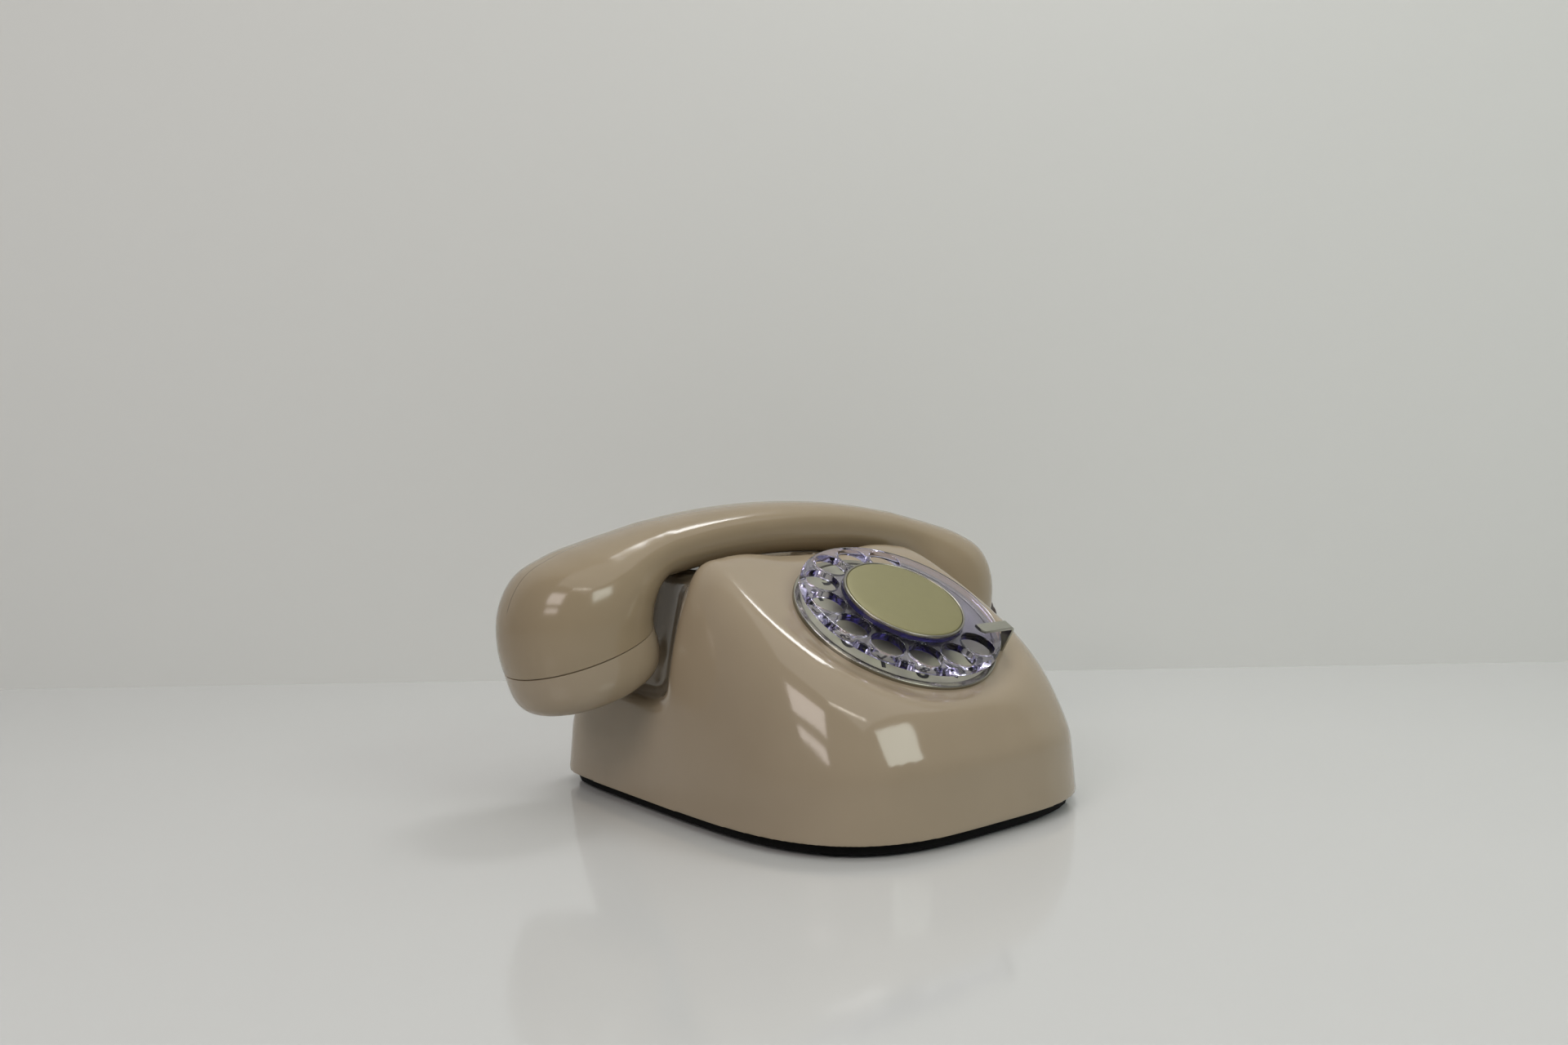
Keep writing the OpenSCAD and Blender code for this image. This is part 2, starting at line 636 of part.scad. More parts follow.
// ---- Hook switch ----
lever_z = 70;
lever_pin_y = handset_back + 16.6;
lever_pin_z = 68.7;
lever_pin_r = 1.5;
bracket_t = 2.5;
plunger_top = handle_centre_z + sqrt(pow(handle_under_r, 2) - pow(plunger_x + plunger_r, 2)) - clearance;
module plunger(s) {
    color("#c9c0aa") translate([s * plunger_x, handset_back, 0]) {
        translate([0, 0, lever_z + clearance]) cylinder(r = plunger_r, h = plunger_top - lever_z - clearance);
        translate([0, 0, lever_z + clearance]) cylinder(r = plunger_r + 1.5, h = 1.8);
    }
}
module plunger_left() { plunger(-1); }
module plunger_right() { plunger(1); }
module switch_bracket() {
    color(STEEL) difference() {
        union() {
            translate([-20.5, handset_back - 9, saddle_boss_z - bracket_t]) cube([41, 30, bracket_t]);
            for (s = [-1, 1]) translate([s * 19 - 1.5, lever_pin_y - 4, lever_pin_z - 4])
                cube([3, 8, saddle_boss_z - lever_pin_z + 4]);
        }
        for (s = [-1, 1]) translate([s * saddle_boss_x, handset_back, 60])
            cylinder(r = saddle_screw_r + 0.1, h = 30);
        translate([-30, lever_pin_y, lever_pin_z]) rotate([0, 90, 0])
            cylinder(r = lever_pin_r + running_fit, h = 60);
    }
}
module switch_lever() {
    color("#c9c0aa") {
        translate([-35, lever_pin_y, lever_pin_z]) rotate([0, 90, 0]) cylinder(r = lever_pin_r, h = 70);
        for (s = [-1, 1]) translate([s * 29, 0, 0]) {
            translate([-6, handset_back - 5, lever_z - 2.5]) cube([12, lever_pin_y - handset_back + 5, 2.5]);
            translate([-6, lever_pin_y, lever_pin_z]) rotate([0, 90, 0]) cylinder(r = 3, h = 12);
        }
    }
}
module switch_contacts() {
    color("#7b4a2a") {
        translate([-7, handset_back - 7, lever_z - 2]) cube([14, 12, saddle_boss_z - bracket_t - lever_z + 2]);
        for (x = [-4, 0, 4]) translate([x - 1, handset_back - 12, lever_z]) cube([2, 5 + eps, 0.4]);
    }
}
module switch_screws() {
    color(STEEL) for (s = [-1, 1]) translate([s * saddle_boss_x, handset_back, saddle_boss_z - bracket_t])
        mirror([0, 0, 1]) screw(2.4, 1.6, saddle_screw_r, 10);
}

// ---- Network board ----
board_z = 10;
board_t = 1.6;
board_posts = [[-56, -6], [-12, -6], [-56, 44], [-12, 44]];
board_top = board_z + board_t;
module network_board() {
    color("#b58a4c") difference() {
        translate([-60, -10, board_z]) cube([52, 58, board_t]);
        for (p = board_posts) translate([p[0], p[1], board_z - 1]) cylinder(r = 1.2, h = 4);
    }
}
module board_screws() {
    color(STEEL) for (p = board_posts) translate([p[0], p[1], board_top]) screw(2.2, 1.2, 1, 5.5);
}
module induction_coil() {
    color("#3c3a38") translate([-51, 20, board_top]) {
        cube([5, 20, 18]);
        translate([17, 0, 0]) cube([5, 20, 18]);
        translate([0, 0, 14]) cube([22, 20, 4]);
        cube([22, 20, 3]);
    }
    color("#9a5a2c") translate([-51 + 11, 30, board_top + 3]) cylinder(r = 5.5, h = 11);
}
module capacitor() {
    color("#6f8f9c") translate([-20, 2, board_top + 6.5]) rotate([-90, 0, 0]) cylinder(r = 6.5, h = 28);
}
module terminal_block() {
    color("#2b2b2b") translate([-50, -7, board_top]) difference() {
        cube([24, 9, 8]);
        for (i = [0 : 3]) translate([3 + 6 * i, 4.5, 3]) cylinder(r = 1.6, h = 6);
    }
}

// ---- Ringer ----
ringer_y = 23;
clapper_ball_r = 2.5;
clapper_play = 2.5;
clapper_pin_r = 1.2;
clapper_z = 17;
clapper_pivot = [16, ringer_y];
gong_x = 42;
gong_y = [for (s = [-1, 1]) ringer_y + s * (gong_r + clapper_ball_r + clapper_play)];
gong_z = 14;
gong_t = 1.2;
gong_bend_r = 6;
ringer_coil_x = 9;
ringer_coil_r = 6.4;
ringer_coil_h = 20;
ringer_core_r = 2.2;
coil_y = [ringer_y - 8, ringer_y + 8];
module ringer_frame() {
    color(STEEL) {
        translate([2, ringer_y - 16, floor_z]) cube([24, 32, 1.6]);
        for (y = coil_y) translate([ringer_coil_x, y, floor_z])
            cylinder(r = ringer_core_r, h = ringer_coil_h + 4);
        translate([clapper_pivot[0], clapper_pivot[1], floor_z])
            cylinder(r = clapper_pin_r, h = clapper_z + 3 - floor_z);
    }
}
module ringer_coils() {
    color("#9a3f22") for (y = coil_y) translate([ringer_coil_x, y, floor_z + 1.6])
        tube(ringer_coil_r, ringer_core_r + 0.05, ringer_coil_h);
}
module gongs() {
    color(BRASS) for (y = gong_y) translate([gong_x, y, gong_z]) difference() {
        rotate_extrude() polygon(concat([[0, gong_h]], [for (a = [0 : 10 : 90])
            [gong_r - gong_bend_r * (1 - sin(a)), gong_h - gong_bend_r * (1 - cos(a))]], [[gong_r, 0], [0, 0]]));
        rotate_extrude() polygon(concat([[0, gong_h - gong_t]], [for (a = [0 : 10 : 90])
            [gong_r - gong_bend_r + (gong_bend_r - gong_t) * sin(a),
             gong_h - gong_bend_r + (gong_bend_r - gong_t) * cos(a)]],
            [[gong_r - gong_t, -eps], [0, -eps]]));
        translate([0, 0, -1]) cylinder(r = 1.4, h = gong_h + 2);
    }
}
module gong_screws() {
    color(STEEL) for (y = gong_y) translate([gong_x, y, gong_z + gong_h]) screw(3, 1.6, 1.2, 8);
}
module clapper() {
    arm = gong_x - clapper_pivot[0];
    color(STEEL) translate([clapper_pivot[0], clapper_pivot[1], clapper_z]) {
        difference() {
            translate([0, 0, -2]) cylinder(r = 2.6, h = 4);
            translate([0, 0, -3]) cylinder(r = clapper_pin_r + running_fit, h = 6);
        }
        translate([2.2, 0, 0]) rotate([0, 90, 0]) cylinder(r = 0.6, h = arm - 2.2);
        translate([arm, 0, 0]) sphere(r = clapper_ball_r);
    }
}

// ---- Handset ----
function dome_profile(r, h) =
    [for (i = [0 : 12]) let(z = h * sin(90 * i / 12)) [r * sqrt(max(1 - pow(z / h, dome_power), 0)), z]];
function cap_profile(r, h) =
    [for (i = [0 : 14])
        let(z = h * sin(90 * i / 14)) [r * pow(max(1 - pow(z / h, cap_power), 0), 1 / cap_power), -z]];
// Smooth curve through the rows of FAN
function fan_row(i) = FAN[min(max(i, 0), len(FAN) - 1)];
function fan_at(u) = let(i = min(floor(u), len(FAN) - 2), t = u - i,
    a = fan_row(i - 1), b = fan_row(i), c = fan_row(i + 1), d = fan_row(i + 2))
    b + (c - a) * t / 2 + (2 * a - 5 * b + 4 * c - d) * t * t / 2 + (3 * b - a - 3 * c + d) * t * t * t / 2;
function section(sides, at, out, half_t, half_w, power) = [for (k = [0 : sides - 1])
    let(c = cos(360 * k / sides), n = sin(360 * k / sides))
    at + sign(c) * pow(abs(c), 2 / power) * half_t * out - [0, sign(n) * pow(abs(n), 2 / power) * half_w, 0]];
function fan_section(sides, s, u) =
    let(row = fan_at(u),
        out = [s * cos(row[0]), 0, sin(row[0])],
        size = [for (i = [0 : 2]) FAN_CUP[i] + row[i + 1] * (FAN_HANDLE[i] - FAN_CUP[i])])
    section(sides, [s * fan_x, handset_back, fan_z] + (size[0] + size[1]) / 2 * out, out,
            (size[1] - size[0]) / 2, size[2], 2 + (handle_power - 2) * u / (len(FAN) - 1));
function handle_section(sides, x) =
    let(half_w = handle_w / 2 + handle_flare * pow(x / fan_x, 2))
    section(sides, [x, handset_back, (handle_back(x) + handle_under(x)) / 2], [0, 0, 1],
            (handle_back(x) - handle_under(x)) / 2, half_w, handle_power);
module handset_skin(sides) {
    rows = len(FAN) - 1;
    loft(concat([for (j = [0 : fan_steps]) fan_section(sides, -1, rows * j / fan_steps)],
                [for (j = [1 : handle_steps - 1]) handle_section(sides, fan_x * (2 * j / handle_steps - 1))],
                [for (j = [fan_steps : -1 : 0]) fan_section(sides, 1, rows * j / fan_steps)]));
}
module round_arc(r, end_angle, mid_r, y) {
    translate([0, handset_back + y, handle_centre_z]) rotate([90, 0, 0]) rotate(90 - end_angle)
        rotate_extrude(angle = 2 * end_angle, $fn = 360) translate([mid_r, 0]) circle(r);
}
boot_start = [BOOT_PATH[0][0], handset_back, BOOT_PATH[0][1]];
boot_aim = atan2(BOOT_PATH[1][0] - BOOT_PATH[0][0], BOOT_PATH[1][1] - BOOT_PATH[0][1]);
module handset_shell() {
    channel_r = handle_arc_r - handle_t / 2;
    color(IVORY) difference() {
        union() {
            handset_skin(48);
            for (s = [-1, 1]) on_cup(s) translate([0, 0, -spigot_h])
                cylinder(r = spigot_r - spigot_fit, h = spigot_h + 3);
        }
        for (s = [-1, 1]) on_cup(s) {
            translate([0, 0, hollow_step]) rotate_extrude()
                polygon(concat([[0, 0]], dome_profile(spigot_r, dome_h - handset_wall - hollow_step)));
            translate([0, 0, -spigot_h - 1])
                cylinder(r = spigot_r - spigot_wall, h = spigot_h + hollow_step + 2);
        }
        round_arc(wire_channel_r, channel_end_angle, channel_r, 0);
        translate(boot_start) rotate([0, boot_aim, 0]) translate([0, 0, -6])
            cylinder(r = boot_root_r + 0.1, h = 22);
    }
}
sound_hole_r = 1.1;
sound_ring_r = 10;
module sound_holes() {
    translate([0, 0, -cap_h - 1]) cylinder(r = sound_hole_r, h = handset_wall + 2);
    for (n = [1, 2], i = [0 : 6 * n - 1]) rotate(60 / n * i)
        translate([sound_ring_r * n / 2, 0, -cap_h - 1]) cylinder(r = sound_hole_r, h = handset_wall + 2);
}
module cap(s) {
    color(IVORY) on_cup(s) translate([0, 0, -cap_seam]) difference() {
        rotate_extrude() polygon(concat([[0, 0]], cap_profile(cup_r, cap_h)));
        translate([0, 0, eps]) rotate_extrude()
            polygon(concat([[0, 0]], cap_profile(cup_r - handset_wall, cap_h - handset_wall)));
        sound_holes();
    }
}
module ear_cap() { cap(-1); }
module mouth_cap() { cap(1); }
capsule_r = cup_r - handset_wall - 4.4;
capsule_nose_r = sound_ring_r + 1;
capsule_h = 9;
capsule_nose_h = 2.8;
// The capsule's nose rests where the rounded floor of the cap reaches its edge
nose_share = capsule_nose_r / (cup_r - handset_wall);
capsule_z = (handset_wall - cap_h) * pow(1 - pow(nose_share, cap_power), 1 / cap_power);
module capsule(s) {
    color(STEEL) on_cup(s) {
        translate([0, 0, capsule_z]) cylinder(r = capsule_nose_r, h = capsule_nose_h + eps);
        translate([0, 0, capsule_z + capsule_nose_h]) cylinder(r = capsule_r, h = capsule_h);
    }
}
module receiver_capsule() { capsule(-1); }
module transmitter_capsule() { capsule(1); }
module capsule_contacts() {
    color("#7b4a2a") for (s = [-1, 1]) on_cup(s)
        translate([0, 0, capsule_z + capsule_nose_h + capsule_h]) tube(capsule_r - 1, 8, 2.5);
}
module handset_wires() {
    color("#b03020") for (y = [-1.2, 1.2])
        round_arc(0.9, channel_end_angle, handle_arc_r - handle_t / 2 - wire_channel_r + 1.3, y);
}

// ---- Handset cord ----
module handset_boot() {
    last = len(BOOT_PATH) - 1;
    color("#3a2418") swept_tube([for (p = BOOT_PATH) [p[0], cord_y, p[1]]],
        [for (i = [0 : last]) boot_root_r + (boot_tip_r - boot_root_r) * i / last], 24, [0, 1, 0]);
}
module handset_cord() {
    last = len(CORD_PATH) - 1;
    color("#3a2418") swept_tube(CORD_PATH,
        [for (i = [0 : last]) i == 0 || i == last ? 2.4 : coil_r], 10, [1, 1, 0.3]);
}

housing();
base_plate();
base_feet();
base_screws();
line_inlet();
cord_inlet();
bezel_ring();
number_plate();
dial_top_plate();
dial_case();
finger_wheel();
centre_plate();
centre_rim();
dial_shaft();
main_gear();
pulse_cam();
governor_pinion();
governor_weights();
return_spring();
pulse_contacts();
finger_stop();
dial_screws();
plunger_left();
plunger_right();
switch_bracket();
switch_lever();
switch_contacts();
switch_screws();
network_board();
induction_coil();
capacitor();
terminal_block();
board_screws();
ringer_frame();
ringer_coils();
gongs();
gong_screws();
clapper();
handset_shell();
ear_cap();
mouth_cap();
receiver_capsule();
transmitter_capsule();
capsule_contacts();
handset_wires();
handset_boot();
handset_cord();
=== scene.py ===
# %% [markdown]
# # Rotary table telephone
#
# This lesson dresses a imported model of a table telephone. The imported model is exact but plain: each node is
# one part of the real telephone, in metres, with the table at Z = 0, the dial facing -Y and the handset
# along X. Pieces whose shape needs more care than plain solids give, such as the soft moulded housing, are
# modelled again here and stand in for their node. The others keep their shape and get a finish.

# %% Load the frame
import bpy
import json
import math
import numpy as np
from mathutils import Matrix, Vector


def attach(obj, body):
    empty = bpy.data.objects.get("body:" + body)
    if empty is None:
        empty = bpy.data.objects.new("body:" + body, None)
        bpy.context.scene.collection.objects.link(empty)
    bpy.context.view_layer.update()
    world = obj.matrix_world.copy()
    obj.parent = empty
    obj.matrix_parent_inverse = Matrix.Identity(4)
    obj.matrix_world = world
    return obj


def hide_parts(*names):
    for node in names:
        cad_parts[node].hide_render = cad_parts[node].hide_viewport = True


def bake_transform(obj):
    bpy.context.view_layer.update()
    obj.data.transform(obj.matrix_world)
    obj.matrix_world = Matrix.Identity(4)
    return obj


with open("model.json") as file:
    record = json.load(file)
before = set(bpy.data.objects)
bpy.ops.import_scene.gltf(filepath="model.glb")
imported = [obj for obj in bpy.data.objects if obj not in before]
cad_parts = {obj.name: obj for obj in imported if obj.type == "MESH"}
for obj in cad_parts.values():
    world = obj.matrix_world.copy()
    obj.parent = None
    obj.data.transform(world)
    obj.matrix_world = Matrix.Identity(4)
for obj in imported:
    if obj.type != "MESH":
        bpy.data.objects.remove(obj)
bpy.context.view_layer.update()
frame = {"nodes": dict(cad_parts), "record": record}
MM = 0.001

# %% [markdown]
# ## Small helpers
#
# Colours are written as sRGB hex, as a paint card gives them, and turned to the linear values that a
# renderer adds up. Meshes are made from arrays in millimetres, because every size on the telephone is known
# in millimetres, and are scaled once on the way in.


# %% Colours, nodes and meshes
def linear(hex_colour):
    """An sRGB hex colour as linear red, green, blue and alpha."""
    parts = [int(hex_colour[i:i + 2], 16) / 255 for i in (1, 3, 5)]
    return [c / 12.92 if c <= 0.04045 else ((c + 0.055) / 1.055) ** 2.4 for c in parts] + [1.0]


def link(node, **sources):
    """Feeds a node's inputs, each named with _ for a space."""
    for name, source in sources.items():
        node.id_data.links.new(source, node.inputs[name.replace("_", " ")])


def add_node(material, kind, settings=None, **sources):
    """Adds one node. Settings go to its fields or its inputs, and each source feeds the input it names."""
    node = material.node_tree.nodes.new(kind)
    for name, value in (settings or {}).items():
        if name in node.inputs:
            node.inputs[name].default_value = value
        else:
            setattr(node, name, value)
    link(node, **sources)
    return node


def shader(material):
    """The material's Principled shader."""
    return material.node_tree.nodes["Principled BSDF"]


def output(material):
    """The material's output."""
    return material.node_tree.nodes["Material Output"]


def new_material(name, hex_colour, **settings):
    """A material with one Principled shader, whose constant settings are put on its own sockets."""
    material = bpy.data.materials.new(name)
    material.use_nodes = True
    material.diffuse_color = linear(hex_colour)
    shader(material).inputs["Base Color"].default_value = linear(hex_colour)
    for key, value in settings.items():
        shader(material).inputs[key.replace("_", " ")].default_value = value
    return material


def in_scene(name, data):
    """A new object in the scene, made from its data."""
    made = bpy.data.objects.new(name, data)
    bpy.context.scene.collection.objects.link(made)
    return made


def new_piece(name, points_mm, faces, material, smooth_deg=None):
    """A mesh object from points in millimetres. smooth_deg is the angle above which an edge stays sharp."""
    mesh = bpy.data.meshes.new(name)
    mesh.from_pydata((np.asarray(points_mm, float) * MM).tolist(), [], [list(map(int, f)) for f in faces])
    piece = in_scene(name, mesh)
    if material:
        mesh.materials.append(material)
    if smooth_deg is not None:
        smooth(piece, smooth_deg)
    return piece


def smooth(piece, degrees):
    """Shades the piece smooth, except across edges that fold by more than the given angle."""
    mesh = piece.data
    mesh.polygons.foreach_set("use_smooth", [True] * len(mesh.polygons))
    if degrees < 180:
        mesh.set_sharp_from_angle(angle=math.radians(degrees))


def settle(piece):
    """Applies the piece's modifiers, so that its mesh is final."""
    graph = bpy.context.evaluated_depsgraph_get()
    final = bpy.data.meshes.new_from_object(piece.evaluated_get(graph))
    piece.modifiers.clear()
    piece.data = final


def stands_for(piece, body, slot, *nodes):
    """The piece rides on a body and hides the CAD nodes it replaces. The slot is not used."""
    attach(piece, body)
    if nodes:
        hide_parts(*nodes)


print("helpers ready; a middle grey of 808080 is", round(linear("#808080")[0], 3), "in linear light")

# %% [markdown]
# ## Camera
#
# The telephone is seen from a little above the table, with its dial turned to the right. A lens of 29 mm on
# a 36 mm sensor from half a metre away gives the near cup of the handset its large size. The camera stands
# still, and every other piece is placed by the frame.

# %% Camera
eye = Vector((-315.937, -372.325, 126.962)) * MM
turn, dip, roll = 0.6707266, 0.0478057, -0.0179043  # in radians
ahead = Vector((math.sin(turn) * math.cos(dip), math.cos(turn) * math.cos(dip), -math.sin(dip)))
level = Vector((math.cos(turn), -math.sin(turn), 0))
upright = level.cross(ahead)
right = math.cos(roll) * level + math.sin(roll) * upright
above = -math.sin(roll) * level + math.cos(roll) * upright
camera_data = bpy.data.cameras.new("camera")
camera_data.sensor_width = 36
camera_data.lens = 29.06
camera_data.clip_start = 0.02
camera = in_scene("camera", camera_data)
facing = Matrix((right, above, -ahead)).transposed()
camera.matrix_world = Matrix.Translation(eye) @ facing.to_4x4()
bpy.context.scene.camera = camera
print("camera", round(eye.length, 3), "m from the middle of the base")

# %% [markdown]
# ## Handset cord
#
# A handset cord is a flexible lead wound into a tight coil, so it stretches and springs back. What is fixed
# is the lead itself, 3.6 mm thick and wound to 11 mm across. It is made by walking along the route that the
# coil takes and turning round it, which keeps the real lead's length and lets the coil bend. The coil leaves
# the boot on the mouthpiece, drops to the table, runs behind the telephone and rises to its inlet.

# %% Cord route and its coil
CORD_ROUTE = [(132, 35.4, 37.7), (132.3, 35.4, 33), (132.3, 36.2, 27), (131.6, 38, 20.5), (129.6, 41.6, 14.5),
              (126.4, 46.6, 9.5), (122, 52.6, 6.6), (117, 59, 5.8), (111.5, 66, 5.7), (106, 73, 5.7),
              (100, 80.2, 5.7), (93, 87.4, 5.7), (85, 94.2, 5.7), (75.5, 99.6, 5.7), (65, 103.2, 5.7),
              (54, 105.2, 5.7), (43, 106, 5.7), (32, 106.3, 5.8), (21, 106.3, 6.4), (10, 106, 7.8),
              (0, 105.2, 10.6), (-8, 103.3, 14), (-14, 99.8, 16.6), (-16, 96, 17), (-16, 92, 17)]
COIL_D = 11.0
LEAD_D = 3.6
COIL_PITCH = 3.95
TURN_STEPS = 14
END_TURNS = 1.2


def unit(v):
    return v / np.linalg.norm(v, axis=-1, keepdims=True)


def between(a, b, c, d, t):
    """The Catmull-Rom curve from b to c, with a before and d after, at the share t of the way."""
    return 0.5 * (2 * b + (c - a) * t + (2 * a - 5 * b + 4 * c - d) * t ** 2
                  + (3 * b - a - 3 * c + d) * t ** 3)


def smooth_path(points, spacing):
    """A Catmull-Rom curve through the points, resampled at an even spacing."""
    p = np.asarray(points, float)
    p = np.vstack([2 * p[0] - p[1], p, 2 * p[-1] - p[-2]])
    t = np.linspace(0, 1, 24, endpoint=False)[:, None]
    dense = [between(*rows, t) for rows in zip(p, p[1:], p[2:], p[3:])]
    dense = np.vstack(dense + [p[-2:-1]])
    run = np.concatenate([[0], np.cumsum(np.linalg.norm(np.diff(dense, axis=0), axis=1))])
    at = np.linspace(0, run[-1], max(2, int(round(run[-1] / spacing)) + 1))
    return np.stack([np.interp(at, run, dense[:, i]) for i in range(3)], axis=1)


def carried_frames(path):
    """Two directions across the path at each point, which turn as little as possible along it."""
    tangents = unit(np.gradient(path, axis=0))
    side = unit(np.cross(tangents[0], [0.3, 1, 0.1]))
    sides = []
    for t in tangents:
        side = unit(side - t * np.dot(side, t))
        sides.append(side)
    sides = np.array(sides)
    return sides, np.cross(tangents, sides)


route = smooth_path(CORD_ROUTE, COIL_PITCH / TURN_STEPS)
across, over = carried_frames(route)
steps = np.arange(len(route))
angle = steps * 2 * math.pi / TURN_STEPS
ease = np.clip(np.minimum(steps, steps[::-1]) / (END_TURNS * TURN_STEPS), 0, 1)
coil_radius = (COIL_D - LEAD_D) / 2 * np.sqrt(ease * (2 - ease))
lead = route + coil_radius[:, None] * (np.cos(angle)[:, None] * across + np.sin(angle)[:, None] * over)

# %% [markdown]
# ### Finishes for the cord
#
# The cord and its boot are plasticised PVC, a dark reddish brown that shines softly where it bends. Extrusion
# leaves no grain, only a fine unevenness, so a weak noise of about a millimetre drives the bump and a wider
# one varies how dull the surface is.


# %% Uneven gloss, used by every moulded finish
def uneven(material, grain_mm, height_mm, roughness, spread, shades=None):
    """Makes the surface slightly uneven: bump at one size, and at ten times that the gloss and two shades."""
    place = add_node(material, "ShaderNodeTexCoord")
    grain = add_node(material, "ShaderNodeTexNoise", {"Scale": 1 / (grain_mm * MM), "Detail": 3},
                     Vector=place.outputs["Object"])
    bump = add_node(material, "ShaderNodeBump", {"Strength": 1.0, "Distance": height_mm * MM},
                    Height=grain.outputs["Fac"])
    patches = add_node(material, "ShaderNodeTexNoise", {"Scale": 0.1 / (grain_mm * MM), "Detail": 2},
                       Vector=place.outputs["Object"])
    gloss = add_node(material, "ShaderNodeMapRange", {"To Min": roughness, "To Max": roughness + spread},
                     Value=patches.outputs["Fac"])
    link(shader(material), Normal=bump.outputs["Normal"], Roughness=gloss.outputs["Result"])
    if shades:
        low, high = map(linear, shades)
        mix = add_node(material, "ShaderNodeMixRGB", {"Color1": low, "Color2": high},
                       Fac=patches.outputs["Fac"])
        link(shader(material), Base_Color=mix.outputs["Color"])


brown_pvc = new_material("plasticised_pvc_brown", "#2A140C", IOR=1.52, Roughness=0.35)
uneven(brown_pvc, 0.9, 0.02, 0.3, 0.2, ("#1C0E09", "#3A1A10"))
print("finish:", brown_pvc.name)

# %% [markdown]
# ### Cord
#
# When the handset is lifted, a coiled cord stretches: its turns open between the mouthpiece and the table. So
# the cord is a mesh tube, swept along its centreline.


# %% Swept tubes
def swept(path, radii, sides=48):
    """Points and faces of a closed tube along a path, with its own radius at each step."""
    u, v = carried_frames(path)
    a = np.linspace(0, 2 * math.pi, sides, endpoint=False)[None, :, None]
    circles = np.cos(a) * u[:, None] + np.sin(a) * v[:, None]
    return lofted(path[:, None] + radii[:, None, None] * circles)


def lofted(rings):
    """Points and faces of a closed skin through rings of points, with a flat face at each end."""
    count, sides = rings.shape[:2]
    index = np.arange(count * sides).reshape(count, sides)
    after = np.roll(index, -1, axis=1)
    walls = np.stack([index[:-1], after[:-1], after[1:], index[1:]], axis=-1).reshape(-1, 4).tolist()
    return rings.reshape(-1, 3), walls + [index[0][::-1].tolist(), index[-1].tolist()]


print("tube helpers ready")

# %% Handset cord
lead_radii = np.full(len(lead), LEAD_D / 2)
coiled_cord = new_piece("coiled_cord", *swept(lead, lead_radii, sides=12), brown_pvc, smooth_deg=60)
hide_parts("handset_cord")
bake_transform(coiled_cord)
print("cord points:", len(lead))

# %% [markdown]
# ### Boot
#
# The boot is the soft sleeve that keeps the cord from breaking where it leaves the mouthpiece. It is a
# tapered tube with shallow rings, swept along the bend in which it was moulded. The radius at each step
# gives both the taper and the rings in one go.

# %% Boot
BOOT_ROUTE = [(112, 35.4, 68.5), (117, 35.4, 64.5), (122, 35.4, 60.5), (126.5, 35.4, 56), (129.8, 35.4, 50.5),
              (131.6, 35.4, 44.5), (132, 35.4, 38)]
BOOT_R, BOOT_TAPER, BOOT_RINGS, RING_DEPTH = 5.9, 1.55, 9, 0.28
boot_path = smooth_path(BOOT_ROUTE, 0.35)
share = np.linspace(0, 1, len(boot_path))
ripple = np.clip(np.sin(2 * math.pi * BOOT_RINGS * share), -1, 0.2) * np.clip((share - 0.25) * 6, 0, 1)
boot_radii = BOOT_R - BOOT_TAPER * share + RING_DEPTH * ripple
boot_radii[-4:] -= np.array([0.05, 0.15, 0.35, 0.7])
boot = new_piece("cord_boot", *swept(boot_path, boot_radii), brown_pvc, smooth_deg=60)
stands_for(boot, "handset", "brown_cord", "handset_boot")
print("boot", round(float(np.linalg.norm(np.diff(boot_path, axis=0), axis=1).sum())), "mm long")

# %% [markdown]
# ## Plastics and metals
#
# The body and handset are moulded ABS in a warm ivory that has darkened with age. ABS is glossy out of a
# polished mould, with an IOR near 1.54 and a very slight orange peel. The colour drifts a little, because old
# ABS yellows unevenly.

# %% Moulded finishes
ivory_abs = new_material("moulded_abs_ivory", "#9F907A", IOR=1.54, Roughness=0.16)
uneven(ivory_abs, 2.5, 0.004, 0.07, 0.07, ("#9B8C76", "#A3947E"))

# This black is darker than black plastic itself. It is painted shade for the deep shadow under the telephone's
# skirt.
black_abs_painted_shade = new_material("textured_abs_black_painted_shade", "#030303", IOR=1.3, Roughness=0.75)
uneven(black_abs_painted_shade, 0.8, 0.05, 0.7, 0.2)

foot_rubber = new_material("moulded_rubber_black", "#0A0A0B", IOR=1.5, Roughness=0.75)
uneven(foot_rubber, 0.5, 0.04, 0.65, 0.25)

white_nylon = new_material("moulded_nylon_white", "#D2CEBE", IOR=1.53, Roughness=0.4)
uneven(white_nylon, 1.2, 0.01, 0.35, 0.15)

phenolic = new_material("pressed_phenolic_brown", "#6B3D1E", IOR=1.6, Roughness=0.45)
uneven(phenolic, 0.6, 0.02, 0.4, 0.2, ("#5A3218", "#7A4724"))

wire_pvc = new_material("extruded_pvc_red", "#8E1F16", IOR=1.52, Roughness=0.35)
uneven(wire_pvc, 0.8, 0.005, 0.3, 0.15)
print("moulded finishes ready")

# %% [markdown]
# Metals need no colour map to look real: what the eye reads is how the surface was worked. A turned or
# brushed face has fine lines in one direction, which stretch the highlights across them. The lines are noise
# that is squeezed in one direction, drawn at 0.25 to 0.6 mm, coarser than real brushing so that it shows.


